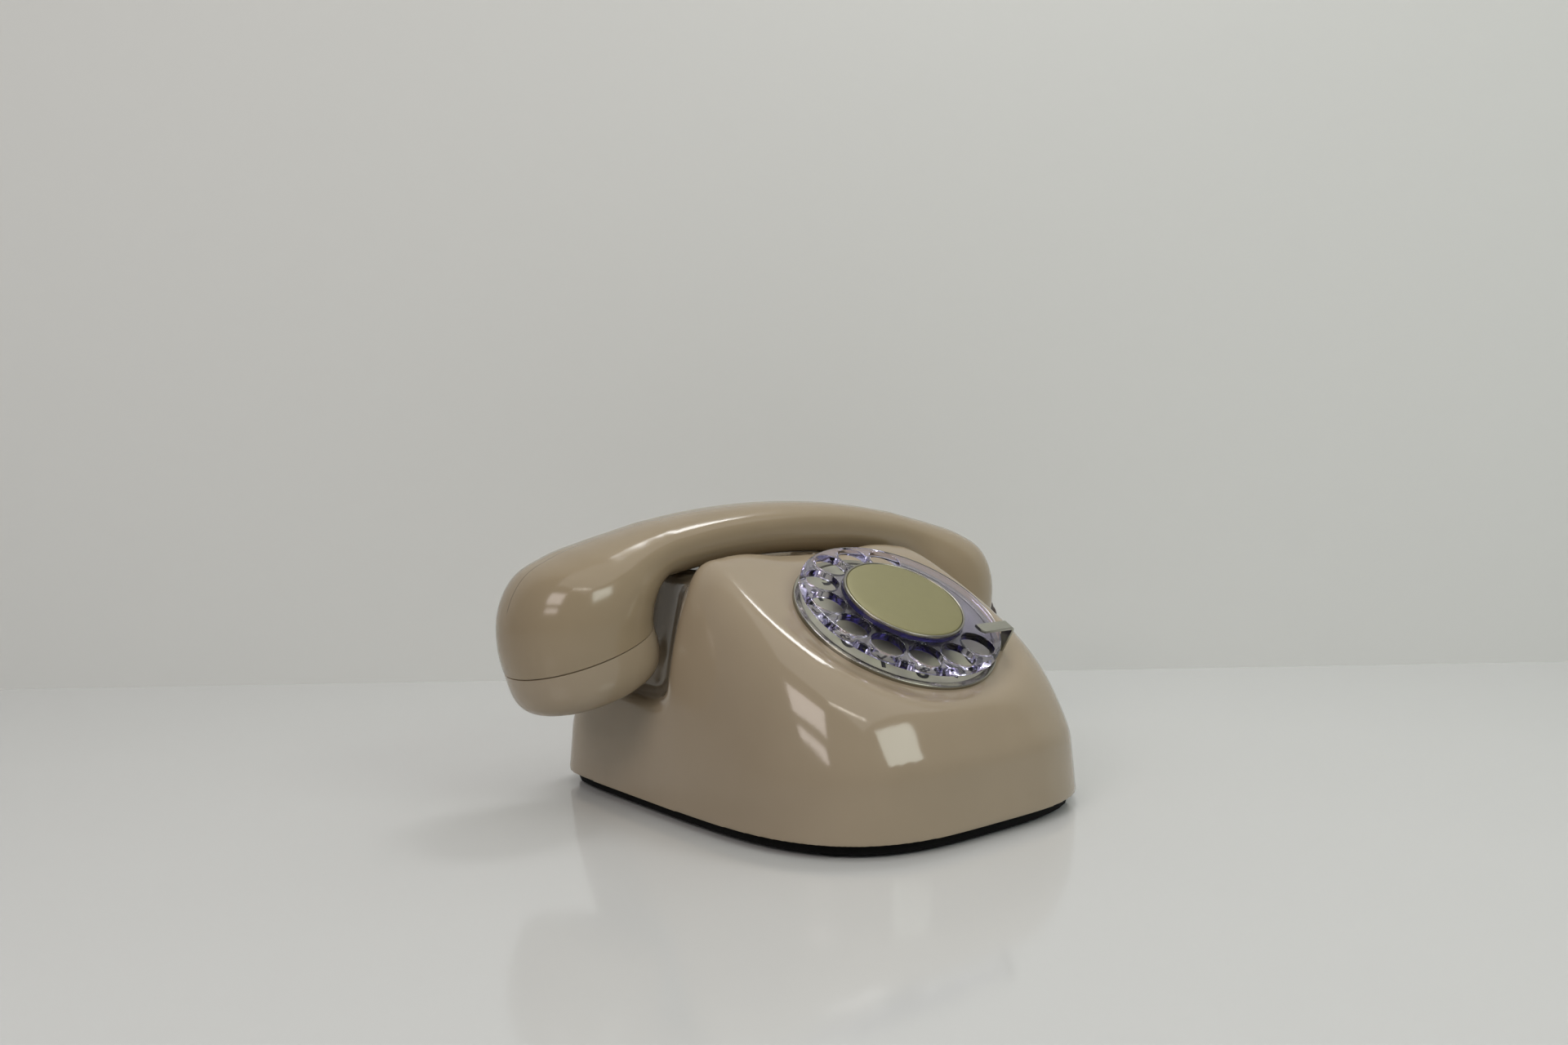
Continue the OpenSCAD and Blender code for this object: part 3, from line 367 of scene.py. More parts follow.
# %% Metal finishes
def worked_metal(name, hex_colour, roughness, line_mm, stretch=(1, 1, 1), spread=0.12):
    """A metal with brushed lines. stretch squeezes the noise along each axis."""
    metal = new_material(name, hex_colour, Metallic=1.0, Roughness=roughness)
    place = add_node(metal, "ShaderNodeTexCoord")
    squeezed = add_node(metal, "ShaderNodeMapping", {"Scale": stretch}, Vector=place.outputs["Object"])
    lines = add_node(metal, "ShaderNodeTexNoise", {"Scale": 1 / (line_mm * MM), "Detail": 2},
                     Vector=squeezed.outputs["Vector"])
    gloss = add_node(metal, "ShaderNodeMapRange", {"To Min": roughness, "To Max": roughness + spread},
                     Value=lines.outputs["Fac"])
    bump = add_node(metal, "ShaderNodeBump", {"Strength": 0.4, "Distance": 0.01 * MM},
                    Height=lines.outputs["Fac"])
    link(shader(metal), Normal=bump.outputs["Normal"], Roughness=gloss.outputs["Result"])
    return metal


zinc_steel = worked_metal("zinc_plated_steel", "#A9AAA8", 0.3, 0.5)
stop_steel = worked_metal("brushed_stainless_steel", "#A8A79C", 0.26, 0.3, (0.08, 1, 1))
chrome_plate = worked_metal("bright_chrome_plate", "#98958A", 0.15, 0.6, spread=0.1)
spring_brass = worked_metal("rolled_brass", "#B08A48", 0.28, 0.4, (0.1, 1, 1))
bell_brass = worked_metal("spun_brass", "#B5924F", 0.22, 0.4)
spun_can = worked_metal("spun_aluminium", "#A6A6A4", 0.3, 0.4)
copper_winding = worked_metal("enamelled_copper_wire", "#9A4A22", 0.35, 0.25, (1, 1, 0.1), 0.2)
print("metal finishes ready")

# %% [markdown]
# ## Housing
#
# The housing is one moulding with soft shoulders, a dished ring round the dial, two bumps on the ridge and
# rounded rims along the handset's saddle. Bevels on a mesh of large facets would leave flats. Instead its
# shape is a field: a formula that is negative inside the plastic, zero on its skin and positive outside.
# Fields blend softly where two of them meet, and one pass over a grid turns the zero level to a mesh.

# %% Field tools
def soft_max(a, b, reach):
    """The larger of two fields, with a rounded corner of about reach where they meet."""
    near = np.maximum(reach - np.abs(a - b), 0) / reach
    return np.maximum(a, b) + near * near * reach / 4


def skin_of(field, low, high, step):
    """Points and faces where the field is zero: one point in each cell that the skin crosses."""
    axes = [np.arange(a, b + step, step) for a, b in zip(low, high)]
    grid = np.meshgrid(*axes, indexing="ij")
    value = field(*grid).astype(np.float32)
    inside = value < 0
    cells = np.array(value.shape) - 1
    total = np.zeros((*cells, 3))
    crossings = np.zeros(cells)
    edges = []
    for axis in range(3):
        keep = [slice(1, -1)] * 3
        keep[axis] = slice(0, -1)
        further = list(keep)
        further[axis] = slice(1, None)
        at = np.argwhere(inside[tuple(keep)] != inside[tuple(further)])
        offset = np.ones(3, int)
        offset[axis] = 0
        at = at + offset
        start = value[tuple(at.T)]
        end_at = at.copy()
        end_at[:, axis] += 1
        end = value[tuple(end_at.T)]
        place = np.array([axes[i][at[:, i]] for i in range(3)]).T
        place[:, axis] += step * start / (start - end)
        others = [i for i in range(3) if i != axis]
        corners = []
        for da, db in ((0, 0), (1, 0), (1, 1), (0, 1)):
            cell = at.copy()
            cell[:, others[0]] -= da
            cell[:, others[1]] -= db
            np.add.at(total, tuple(cell.T), place)
            np.add.at(crossings, tuple(cell.T), 1)
            corners.append(cell)
        edges.append((axis, corners, start < 0))
    used = crossings > 0
    number = np.full(crossings.shape, -1)
    number[used] = np.arange(used.sum())
    points = total[used] / crossings[used][:, None]
    faces = []
    for axis, corners, rising in edges:
        quads = np.stack([number[tuple(c.T)] for c in corners], axis=1)
        outward = rising if axis != 1 else ~rising
        faces.append(np.where(outward[:, None], quads, quads[:, ::-1]))
    return points, np.concatenate(faces)


print("a soft corner 4 mm wide stands off by", round(float(soft_max(0.0, 0.0, 4)), 2), "mm")

# %% [markdown]
# The outlines of the skirt and of the top are superellipses: circles that are pushed out towards a square,
# nearly square at the rear and rounder at the front. Between them the flank rises steeply and then levels
# out. Where the top meets the dial it is a plane that leans with the dial, softly held down to the ridge.

# %% Housing sizes
HALF_REAR, HALF_FRONT, HALF_LENGTH = 74.3, 72.3, 88.2
TOP_HALF, TOP_FRONT, TOP_REAR = 47.0, 75.4, 70.0
SKIRT_Z, SHOULDER_Z, WALL = 5.0, 29.0, 2.5
SKIRT_DRAUGHT = 1.8
SHOULDER_ROUND = 3
DIAL_TILT = math.radians(30.8)
DIAL_MIDDLE = Vector((0, -38.3, 68.7))
DIAL_SINK = 0.8
RIDGE_Z, BUMP_X, BUMP_SPREAD, BUMP_HIGH = 92.6, 33, 13, 3
WELL_R, WELL_DEPTH = 39.6, 6.0
HANDSET_Y = 35.4
HANDLE_ARC_R, HANDLE_Z, HANDLE_T = 294.0, 111.0, 21.0
HANDLE_UNDER_R, HANDLE_CENTRE_Z = HANDLE_ARC_R - HANDLE_T, HANDLE_Z - HANDLE_ARC_R
SADDLE_HALF, SADDLE_GAP, SADDLE_RIM = 22.5, 1.6, 5.5
POCKET_X, POCKET_TOP, POCKET_LEAN = 50, 80, 0.2
POCKET_HALF, POCKET_Z, POCKET_CORNER, POCKET_FILLET = 30.3, 41, 27.0, 7
REST_X, REST_HALF, REST_GAP, REST_Z = 42, 1.5, 0.4, 60
CREASE_BLUR = 1.7
FIELD_STEP = 1.3
print("housing", 2 * HALF_REAR, "mm wide and", 2 * HALF_LENGTH, "mm deep, with a wall of", WALL, "mm")


# %% Housing surfaces
def superellipse(a, half_w, half_l, power):
    """Distance of a superellipse from its middle at each angle."""
    return (np.abs(np.cos(a) / half_w) ** power + np.abs(np.sin(a) / half_l) ** power) ** (-1 / power)


def skirt_radius(a, inset):
    """Distance of the skirt from the middle, narrower and rounder in front."""
    front = np.sin(a) < 0
    half_w = np.where(front, HALF_REAR + (HALF_REAR - HALF_FRONT) * np.sin(a), HALF_REAR) - inset
    return superellipse(a, half_w, HALF_LENGTH - inset, np.where(front, 3.3, 9.0))


def top_radius(a):
    """Distance of the top's edge from the middle."""
    front = np.sin(a) < 0
    return superellipse(a, TOP_HALF, np.where(front, TOP_FRONT, TOP_REAR), np.where(front, 2.6, 5.0))


def top_height(x, y):
    """Height of the top: the dial's slope, held down to the ridge and its two bumps."""
    slope = DIAL_MIDDLE.z + (y - DIAL_MIDDLE.y) * math.tan(DIAL_TILT) - DIAL_SINK
    bumps = BUMP_HIGH * np.exp(-((np.abs(x) - BUMP_X) / BUMP_SPREAD) ** 2)
    ridge = RIDGE_Z + bumps - 0.06 * np.maximum(y - 11, 0)
    return (slope + ridge - np.sqrt((slope - ridge) ** 2 + 36)) / 2


def outer_height(x, y):
    """Height of the housing's skin above the skirt, as one surface over the plan."""
    a, r = np.arctan2(y, x), np.hypot(x, y)
    sideways = np.cos(a) ** 2
    edge = top_radius(a)
    foot = skirt_radius(a, SKIRT_DRAUGHT + 2.6 * (1 - 0.8 * sideways))
    rim = top_height(edge * np.cos(a), edge * np.sin(a))
    k = np.clip((foot - r) / (foot - edge), 0, 1)
    start = SHOULDER_Z + SHOULDER_ROUND
    flank = start + (rim - start) * (1 - (1 - k) ** 2) ** (1 - 0.42 * sideways)
    below = start - SHOULDER_ROUND * (r - foot) / np.maximum(skirt_radius(a, SKIRT_DRAUGHT) - foot, 0.5)
    return np.where(r < edge, top_height(x, y), np.where(r < foot, flank, below))


def blurred(surface, cells):
    """The surface with its creases softened over about that many grid cells."""
    reach = int(3 * cells)
    weights = np.exp(-0.5 * (np.arange(-reach, reach + 1) / cells) ** 2)
    weights /= weights.sum()
    for axis in (0, 1):
        padding = [(reach, reach) if i == axis else (0, 0) for i in (0, 1)]
        padded = np.pad(surface, padding, mode="edge")
        surface = sum(w * np.take(padded, np.arange(i, i + surface.shape[axis]), axis=axis)
                      for i, w in enumerate(weights))
    return surface


def dial_height(x, y, z):
    """Height above the number plate along the dial's own axis, and distance from that axis."""
    dy, dz = y - DIAL_MIDDLE.y, z - DIAL_MIDDLE.z
    height = -dy * math.sin(DIAL_TILT) + dz * math.cos(DIAL_TILT)
    slide = dy * math.cos(DIAL_TILT) + dz * math.sin(DIAL_TILT)
    return height, np.hypot(x, slide)


def handset_space(x, y, z):
    """The saddle and the two pockets that the handset lies in."""
    from_centre = np.hypot(x, z - HANDLE_CENTRE_Z)
    trough = np.maximum(np.abs(y - HANDSET_Y) - SADDLE_HALF, HANDLE_UNDER_R - SADDLE_GAP - from_centre)
    inner = POCKET_X + POCKET_LEAN * np.maximum(POCKET_TOP - z, 0)
    dx = np.maximum(inner + POCKET_CORNER - np.abs(x), 0)
    dy = np.maximum(np.abs(y - HANDSET_Y) - POCKET_HALF + POCKET_CORNER, 0)
    pocket = soft_max(np.hypot(dx, dy) - POCKET_CORNER, POCKET_Z - z, POCKET_FILLET)
    return -soft_max(-trough, -pocket, 5)


def housing_field(x, y, z):
    """The whole housing: a thin wall inside the outer skin, open below, with the saddle sunk into it."""
    step = x[1, 0, 0] - x[0, 0, 0]
    surface = blurred(outer_height(x[:, :, 0], y[:, :, 0]), CREASE_BLUR / step)
    slopes = np.gradient(surface, step)
    lean = np.sqrt(1 + slopes[0] ** 2 + slopes[1] ** 2)
    top = (z - surface[:, :, None]) / np.minimum(lean, 5)[:, :, None]
    a = np.arctan2(y, x)
    side = np.hypot(x, y) - skirt_radius(a, SKIRT_DRAUGHT * (z - SKIRT_Z) / (SHOULDER_Z - SKIRT_Z))
    body = soft_max(soft_max(top, side, SHOULDER_ROUND), -handset_space(x, y, z), SADDLE_RIM)
    height, out = dial_height(x, y, z)
    well = np.maximum(out - WELL_R, -WELL_DEPTH - height)
    hollow = np.maximum(body, -well) + WALL
    ribs = np.maximum(np.abs(np.abs(x) - REST_X) - REST_HALF, np.abs(y - HANDSET_Y) - SADDLE_HALF)
    rests = np.maximum(ribs, np.hypot(x, z - HANDLE_CENTRE_Z) - (HANDLE_UNDER_R - REST_GAP))
    shell = np.minimum(np.maximum(body, -hollow), np.maximum(rests, REST_Z - z))
    return np.maximum(shell, SKIRT_Z - FIELD_STEP - z)


housing_points, housing_faces = skin_of(housing_field, (-78.1, -92.1, 2.4), (78.1, 92.1, 99), FIELD_STEP)
housing = new_piece("housing_shell", housing_points, housing_faces, ivory_abs, smooth_deg=180)
print("housing mesh:", len(housing_points), "points")

# %% [markdown]
# Holes and the skirt's lower edge are crisp, so they are cut after the soft body is made: the dial's well,
# the opening for its mechanism, the guides of the cradle's plungers and the two inlets at the rear. An exact
# boolean keeps their circles round.


# %% Cutters
def placed(points, place):
    """The points, in millimetres, moved by a matrix."""
    place = np.array(place)
    return (place[:3, :3] @ points.T).T + place[:3, 3]


def cylinder(radius, low, high, place, sides=192):
    """A closed cylinder along local Z, in millimetres, put in place by a matrix."""
    angles = np.linspace(0, 2 * math.pi, sides, endpoint=False)
    ring = np.stack([radius * np.cos(angles), radius * np.sin(angles), np.zeros(sides)], axis=1)
    rings = np.stack([ring + (0, 0, low), ring + (0, 0, high)])
    points, faces = lofted(rings)
    return placed(points, place), faces


def joined(parts):
    """Several sets of points and faces as one."""
    points, faces = [], []
    for more_points, more_faces in parts:
        start = sum(len(p) for p in points)
        points.append(more_points)
        faces += [[start + i for i in face] for face in more_faces]
    return np.concatenate(points), faces


def cut(piece, cutter_parts):
    """Takes closed shapes out of a piece."""
    cutter = new_piece("cutter", *joined(cutter_parts), None)
    tool = piece.modifiers.new("cut", "BOOLEAN")
    tool.operation = "DIFFERENCE"
    tool.solver = "EXACT"
    tool.object = cutter
    settle(piece)
    bpy.data.objects.remove(cutter)


ON_DIAL = Matrix.Translation(DIAL_MIDDLE) @ Matrix.Rotation(DIAL_TILT, 4, "X")
BACKWARD = Matrix.Rotation(math.radians(-90), 4, "X")


def slab(half_x, half_y, height):
    """A closed box on the table, about its middle, in millimetres."""
    corners = ((-half_x, -half_y), (half_x, -half_y), (half_x, half_y), (-half_x, half_y))
    return lofted(np.array([[(x, y, z) for x, y in corners] for z in (0.0, height)]))


MECHANISM_R, PLUNGER_X, PLUNGER_GUIDE_R = 33.6, 30, 4.58
cutters = [cylinder(WELL_R, -WELL_DEPTH, 40, ON_DIAL), cylinder(MECHANISM_R, -20, 0, ON_DIAL)]
for inlet_x, inlet_r in ((-16, 4.9), (18, 4.1)):
    cutters.append(cylinder(inlet_r, 0, 30, Matrix.Translation((inlet_x, 76.5, 17)) @ BACKWARD, 64))
cutters.append(slab(90, 100, SKIRT_Z))
for x in (-PLUNGER_X, PLUNGER_X):
    cutters.append(cylinder(PLUNGER_GUIDE_R, 60, 100, Matrix.Translation((x, HANDSET_Y, 0)), 64))
cut(housing, cutters)
smooth(housing, 40)
stands_for(housing, "base", "ivory_plastic", "housing")
print("housing faces after the cuts:", len(housing.data.polygons))

# %% [markdown]
# ## Handset
#
# The handset is two mouldings that meet along its middle, with a cap screwed on each cup. Seen from the side
# its ends turn through more than a right angle, which no bevel or subdivided box gives. So the skin is a row
# of rounded sections: at each cup they fan about a line just inside the bend, from the seam's plane to an
# upright one, and then they run along the handle's arc. A table says how much of the way from the cup's size
# to the handle's each section has gone.

# %% Handset sizes
CUP_X, CUP_Z, CUP_R, CUP_LEAN = 89.2, 60.8, 28.4, math.radians(17.6)
HANDLE_W, HANDLE_FLARE, HANDLE_POWER = 39.0, 0.3, 2.5
CAP_DEPTH, CAP_POWER, CAP_WALL = 18.7, 4.2, 3.0
FAN_X = CUP_X - 34.2
FAN_Z = CUP_Z + (CUP_X - FAN_X) * math.tan(CUP_LEAN)
SEAM_MIDDLE = (CUP_X - FAN_X) / math.cos(CUP_LEAN)


def handle_height(x, arc_radius):
    """Height of the handle's back or underside, which are arcs about one centre."""
    return HANDLE_CENTRE_Z + math.sqrt(arc_radius ** 2 - x * x)


AT_CUP = np.array([SEAM_MIDDLE - CUP_R, SEAM_MIDDLE + CUP_R, CUP_R])
AT_HANDLE = np.array([handle_height(FAN_X, HANDLE_UNDER_R) - FAN_Z,
                      handle_height(FAN_X, HANDLE_ARC_R) - FAN_Z, HANDLE_W / 2 + HANDLE_FLARE])
# Angle above the horizontal, then the shares for the inside, the outside and the half width
FAN = np.array([(-math.degrees(CUP_LEAN), 0, 0, 0), (-8, 0, 0.01, 0), (4, 0, 0.06, 0.03),
                (16, 0.06, 0.21, 0.16), (28, 0.17, 0.51, 0.37), (42, 0.35, 0.79, 0.63),
                (58, 0.59, 0.96, 0.84), (74, 0.86, 1.02, 0.95), (90, 1, 1, 1)])
print("from cup to handle, in mm:", AT_CUP.round(1), AT_HANDLE.round(1))


# %% Sections of the handset
def section(middle, out, half_depth, half_width, power, sides=144):
    """One rounded ring of the handset: a superellipse across the given outward direction."""
    a = np.linspace(0, 2 * math.pi, sides, endpoint=False)
    depth = np.sign(np.cos(a)) * np.abs(np.cos(a)) ** (2 / power) * half_depth
    width = np.sign(np.sin(a)) * np.abs(np.sin(a)) ** (2 / power) * half_width
    return np.array(middle) + depth[:, None] * np.array(out) - width[:, None] * np.array([0, 1, 0])


def fan_section(s, u):
    """The section at row u of the fan, read from a smooth curve through its rows. s is the side, -1 or 1."""
    i = min(int(u), len(FAN) - 2)
    t = u - i
    a, b, c, d = FAN[[max(i - 1, 0), i, i + 1, min(i + 2, len(FAN) - 1)]]
    row = between(a, b, c, d, t)
    inside, outside, half_width = AT_CUP + row[1:] * (AT_HANDLE - AT_CUP)
    lift = math.radians(row[0])
    out = np.array([s * math.cos(lift), 0, math.sin(lift)])
    middle = np.array([s * FAN_X, HANDSET_Y, FAN_Z]) + (inside + outside) / 2 * out
    power = 2 + (HANDLE_POWER - 2) * u / (len(FAN) - 1)
    return section(middle, out, (outside - inside) / 2, half_width, power)


def handle_section(x):
    """The upright section of the handle at x."""
    low, high = handle_height(x, HANDLE_UNDER_R), handle_height(x, HANDLE_ARC_R)
    half_width = HANDLE_W / 2 + HANDLE_FLARE * (x / FAN_X) ** 2
    return section((x, HANDSET_Y, (low + high) / 2), (0, 0, 1), (high - low) / 2, half_width, HANDLE_POWER)


def on_cup(s):
    """The frame of a cup: Z = 0 at its seam and +Z up along its axis."""
    return Matrix.Translation((s * CUP_X, HANDSET_Y, CUP_Z)) @ Matrix.Rotation(s * CUP_LEAN, 4, "Y")


def cup_section(s, radius, height):
    """A round ring across a cup's axis."""
    place = on_cup(s)
    return section(place @ Vector((0, 0, height)), place.to_3x3() @ Vector((s, 0, 0)), radius, radius, 2)


print("sections ready; cup lean", round(math.degrees(CUP_LEAN), 1), "degrees")

# %% [markdown]
# Where the two halves of the handset meet there is a fine line along the back. It is about 0.3 mm wide, far
# too fine to model, so the finish draws it: a narrow dark band about the middle plane, with soft edges.


# %% Handset finish with its parting line
def parting_line(material, middle_y, half_mm, hex_colour):
    """Darkens a narrow band about the plane Y = middle_y, from above the cups up."""
    place = add_node(material, "ShaderNodeTexCoord")
    split = add_node(material, "ShaderNodeSeparateXYZ", Vector=place.outputs["Object"])
    away = add_node(material, "ShaderNodeMath", {"operation": "SUBTRACT"}, Value=split.outputs["Y"])
    away.inputs[1].default_value = middle_y * MM
    distance = add_node(material, "ShaderNodeMath", {"operation": "ABSOLUTE"}, Value=away.outputs["Value"])
    band = add_node(material, "ShaderNodeMapRange",
                    {"From Min": 0.0, "From Max": half_mm * MM, "To Min": 1.0, "To Max": 0.0},
                    Value=distance.outputs["Value"])
    above_cups = add_node(material, "ShaderNodeMapRange",
                          {"From Min": (CUP_Z + 14) * MM, "From Max": (CUP_Z + 16) * MM},
                          Value=split.outputs["Z"])
    line = add_node(material, "ShaderNodeMath", {"operation": "MULTIPLY"}, Value=band.outputs["Result"])
    material.node_tree.links.new(above_cups.outputs["Result"], line.inputs[1])
    base = shader(material).inputs["Base Color"].links[0].from_socket
    mix = add_node(material, "ShaderNodeMixRGB", {"Color2": linear(hex_colour)}, Fac=line.outputs["Value"],
                   Color1=base)
    link(shader(material), Base_Color=mix.outputs["Color"])


handset_abs = new_material("moulded_abs_handset", "#98886F", IOR=1.54, Roughness=0.16)
uneven(handset_abs, 2.5, 0.004, 0.11, 0.08, ("#94846B", "#9C8C73"))
parting_line(handset_abs, HANDSET_Y, 0.3, "#4A3D30")
print("finish:", handset_abs.name)


# %% Handset shell
def outward(points, faces):
    """The same closed skin with its faces turned so that they look outward."""
    volume = 0.0
    for face in faces:
        a = points[face[0]]
        for i in range(1, len(face) - 1):
            volume += float(np.dot(a, np.cross(points[face[i]], points[face[i + 1]])))
    return (points, faces) if volume > 0 else (points, [face[::-1] for face in faces])


# Radius and height of the rings inside a cup, from its hollow down round the spigot and out to the seam
CUP_INSIDE = [(4, 20), (14, 17.5), (20.5, 11), (22.9, 4), (22.9, -8), (24.7, -8), (24.7, 0), (28.05, 0)]
fan_rows = [0.035, 0.08, 0.15] + list(np.linspace(0.25, len(FAN) - 1, 76))
left, right_end = ([cup_section(s, r, h) for r, h in CUP_INSIDE] + [fan_section(s, u) for u in fan_rows]
                   for s in (-1, 1))
along_handle = [handle_section(x) for x in np.linspace(-FAN_X, FAN_X, 62)[1:-1]]
shell_rings = left + along_handle + right_end[::-1]
handset_shell = new_piece("handset_moulding", *outward(*lofted(np.array(shell_rings))), handset_abs, 35)
stands_for(handset_shell, "handset", "ivory_plastic", "handset_shell")
print("handset rings:", len(shell_rings))

# %% [markdown]
# ### Screwed caps
#
# The caps are turned shapes: a profile spun about the cup's axis. The profile is a superellipse, so the rim
# is round and the face nearly flat. Nineteen sound holes go through the face. A hair of daylight stays
# between cap and shell, because that dark line is how one sees that the cap unscrews.


# %% Turned shapes and the caps
def turned(profile, place, sides=192, ring=False):
    """A profile of (radius, height) spun about local Z. A ring's profile closes on itself."""
    a = np.linspace(0, 2 * math.pi, sides, endpoint=False)
    circle = np.stack([np.cos(a), np.sin(a)], axis=1)
    rings = np.array([np.column_stack([r * circle, np.full(sides, z)]) for r, z in profile])
    points, faces = lofted(rings)
    if ring:
        last = (len(profile) - 1) * sides
        faces = faces[:-2] + [[last + i, last + (i + 1) % sides, (i + 1) % sides, i] for i in range(sides)]
    return outward(placed(points, place), faces)


def arc(middle_r, middle_z, radius, start, end, steps=6):
    """Points of a profile along an arc, with angles in degrees from the outward direction."""
    return [(middle_r + radius * math.cos(a), middle_z + radius * math.sin(a))
            for a in np.radians(np.linspace(start, end, steps))]


def cap_curve(radius, depth, start, end, steps):
    """The cap's rounded profile, from its face up to the seam."""
    return [(max(radius * math.cos(a) ** (2 / CAP_POWER), 0.5), -depth * math.sin(a) ** (2 / CAP_POWER))
            for a in np.radians(np.linspace(start, end, steps))]


SEAM_GAP, SOUND_HOLE_R = 0.25, 1.1
cap_profile = cap_curve(CUP_R, CAP_DEPTH, 89.9, 1.5, 60)
cap_profile += [(CUP_R - 0.1, -0.12), (CUP_R - 0.35, 0), (CUP_R - CAP_WALL, 0)]
cap_profile += cap_curve(CUP_R - CAP_WALL, CAP_DEPTH - CAP_WALL, 1.5, 89.9, 24)
for s, name, node in ((-1, "ear_cap_moulding", "ear_cap"), (1, "mouth_cap_moulding", "mouth_cap")):
    place = on_cup(s) @ Matrix.Translation((0, 0, -SEAM_GAP))
    cap = new_piece(name, *turned(cap_profile, place), ivory_abs)
    holes = []
    for count, radius in ((1, 0), (6, 5), (12, 10)):
        for step in range(count):
            at = 2 * math.pi * step / count
            shift = Matrix.Translation((radius * math.cos(at), radius * math.sin(at), 0))
            holes.append(cylinder(SOUND_HOLE_R, -21, -14, place @ shift, 24))
    cut(cap, holes)
    smooth(cap, 35)
    stands_for(cap, "handset", "ivory_plastic", node)
    print(name, "with", len(holes), "sound holes")

# %% [markdown]
# ## Dial
#
# The finger wheel is a clear plate of acrylic with a lilac tint. Acrylic bends light with an IOR of 1.49 and
# the tint is in its bulk, so a look through its 3 mm is nearly clear while a look along it, into the walls of
# the finger holes, is deep violet. Volume absorption gives exactly that. The wall of the boss under the
# centre plate is dyed as well, so it gets a stronger violet of its own.

# %% Dial finishes
clear_acrylic = new_material("cast_acrylic_lilac", "#F1EFFA", IOR=1.49, Roughness=0.03,
                             Transmission_Weight=1.0)
dyed_acrylic = new_material("dyed_acrylic_violet", "#6F66C8", IOR=1.49, Roughness=0.08,
                            Transmission_Weight=0.85)
for acrylic in (clear_acrylic, dyed_acrylic):
    tint = add_node(acrylic, "ShaderNodeVolumeAbsorption", {"Color": linear("#B4A9F2"), "Density": 75.0})
    link(output(acrylic), Volume=tint.outputs["Volume"])

plate_enamel = new_material("stoved_enamel_pale_olive", "#A9A895", IOR=1.5, Roughness=0.35)
uneven(plate_enamel, 0.7, 0.006, 0.3, 0.15)
digit_ink = new_material("printed_ink_black", "#0B0B0C", IOR=1.5, Roughness=0.5)
uneven(digit_ink, 0.3, 0.004, 0.4, 0.2)
gold_lacquer = new_material("lacquered_gold_matt", "#868159", IOR=1.5, Metallic=0.25, Roughness=0.4)
uneven(gold_lacquer, 0.35, 0.008, 0.36, 0.12, ("#827D55", "#8A855D"))
print("dial finishes ready")

# %% [markdown]
# The wheel is turned like the caps, with its rim rounded more above than below. Its ten holes are cut with a
# cutter that flares at both ends, so each gets a rounded lip in the same cut. They stand 26.2 degrees apart,
# because a dial leaves a gap between the first digit and the finger stop.

# %% Finger wheel
WHEEL_R, WHEEL_LOW, WHEEL_HIGH, BOSS_R, BOSS_HIGH = 38.5, 4.2, 7.2, 23.2, 9.0
HOLE_R, HOLE_RING_R, FIRST_HOLE, HOLE_STEP = 6.2, 30.4, 63.6, 26.2
LIP, LOW_ROUND, HIGH_ROUND, AXIS_R = 0.4, 0.7, 1.5, 0.5
wheel_profile = [(AXIS_R, WHEEL_LOW)] + arc(WHEEL_R - LOW_ROUND, WHEEL_LOW + LOW_ROUND, LOW_ROUND, -90, 0)
wheel_profile += arc(WHEEL_R - HIGH_ROUND, WHEEL_HIGH - HIGH_ROUND, HIGH_ROUND, 0, 90, 10)
wheel_profile += arc(BOSS_R + 0.4, WHEEL_HIGH + 0.4, 0.4, -90, -180, 5)
wheel_profile += [(BOSS_R, BOSS_HIGH - 0.01), (BOSS_R - 0.05, BOSS_HIGH), (AXIS_R, BOSS_HIGH)]
finger_wheel = new_piece("finger_wheel_acrylic", *turned(wheel_profile, ON_DIAL, 256), clear_acrylic)
finger_wheel.data.materials.append(dyed_acrylic)

mouth_r = HOLE_R + LIP
hole_profile = [(AXIS_R, WHEEL_LOW - 1), (mouth_r, WHEEL_LOW - 1)]
hole_profile += arc(mouth_r, WHEEL_LOW + LIP, LIP, 270, 180) + arc(mouth_r, WHEEL_HIGH - LIP, LIP, 180, 90)
hole_profile += [(mouth_r, WHEEL_HIGH + 1), (AXIS_R, WHEEL_HIGH + 1)]
HOLE_ANGLES = [math.radians(FIRST_HOLE + HOLE_STEP * i) for i in range(10)]
hole_places = [ON_DIAL @ Matrix.Rotation(at, 4, "Z") @ Matrix.Translation((HOLE_RING_R, 0, 0))
               for at in HOLE_ANGLES]
cut(finger_wheel, [turned(hole_profile, place, 72) for place in hole_places])
print("finger holes:", len(hole_places))

# %% Violet wall of the boss
off_dial = ON_DIAL.inverted()
dyed = 0
for face in finger_wheel.data.polygons:
    middle = off_dial @ (face.center / MM)
    steep = abs((off_dial.to_3x3() @ face.normal).z) < 0.5
    if steep and abs(math.hypot(middle.x, middle.y) - BOSS_R) < 0.3:
        face.material_index = 1
        dyed += 1
print("dyed faces:", dyed, "of", len(finger_wheel.data.polygons))
smooth(finger_wheel, 40)
stands_for(finger_wheel, "dial", "clear_wheel", "finger_wheel")

# %% [markdown]
# The number plate keeps its own shape and gets its enamel. The digits are printed on it in plain black
# figures, one under each finger hole, so they are cut from a font as thin flat meshes. They stand upright
# however the wheel is turned.

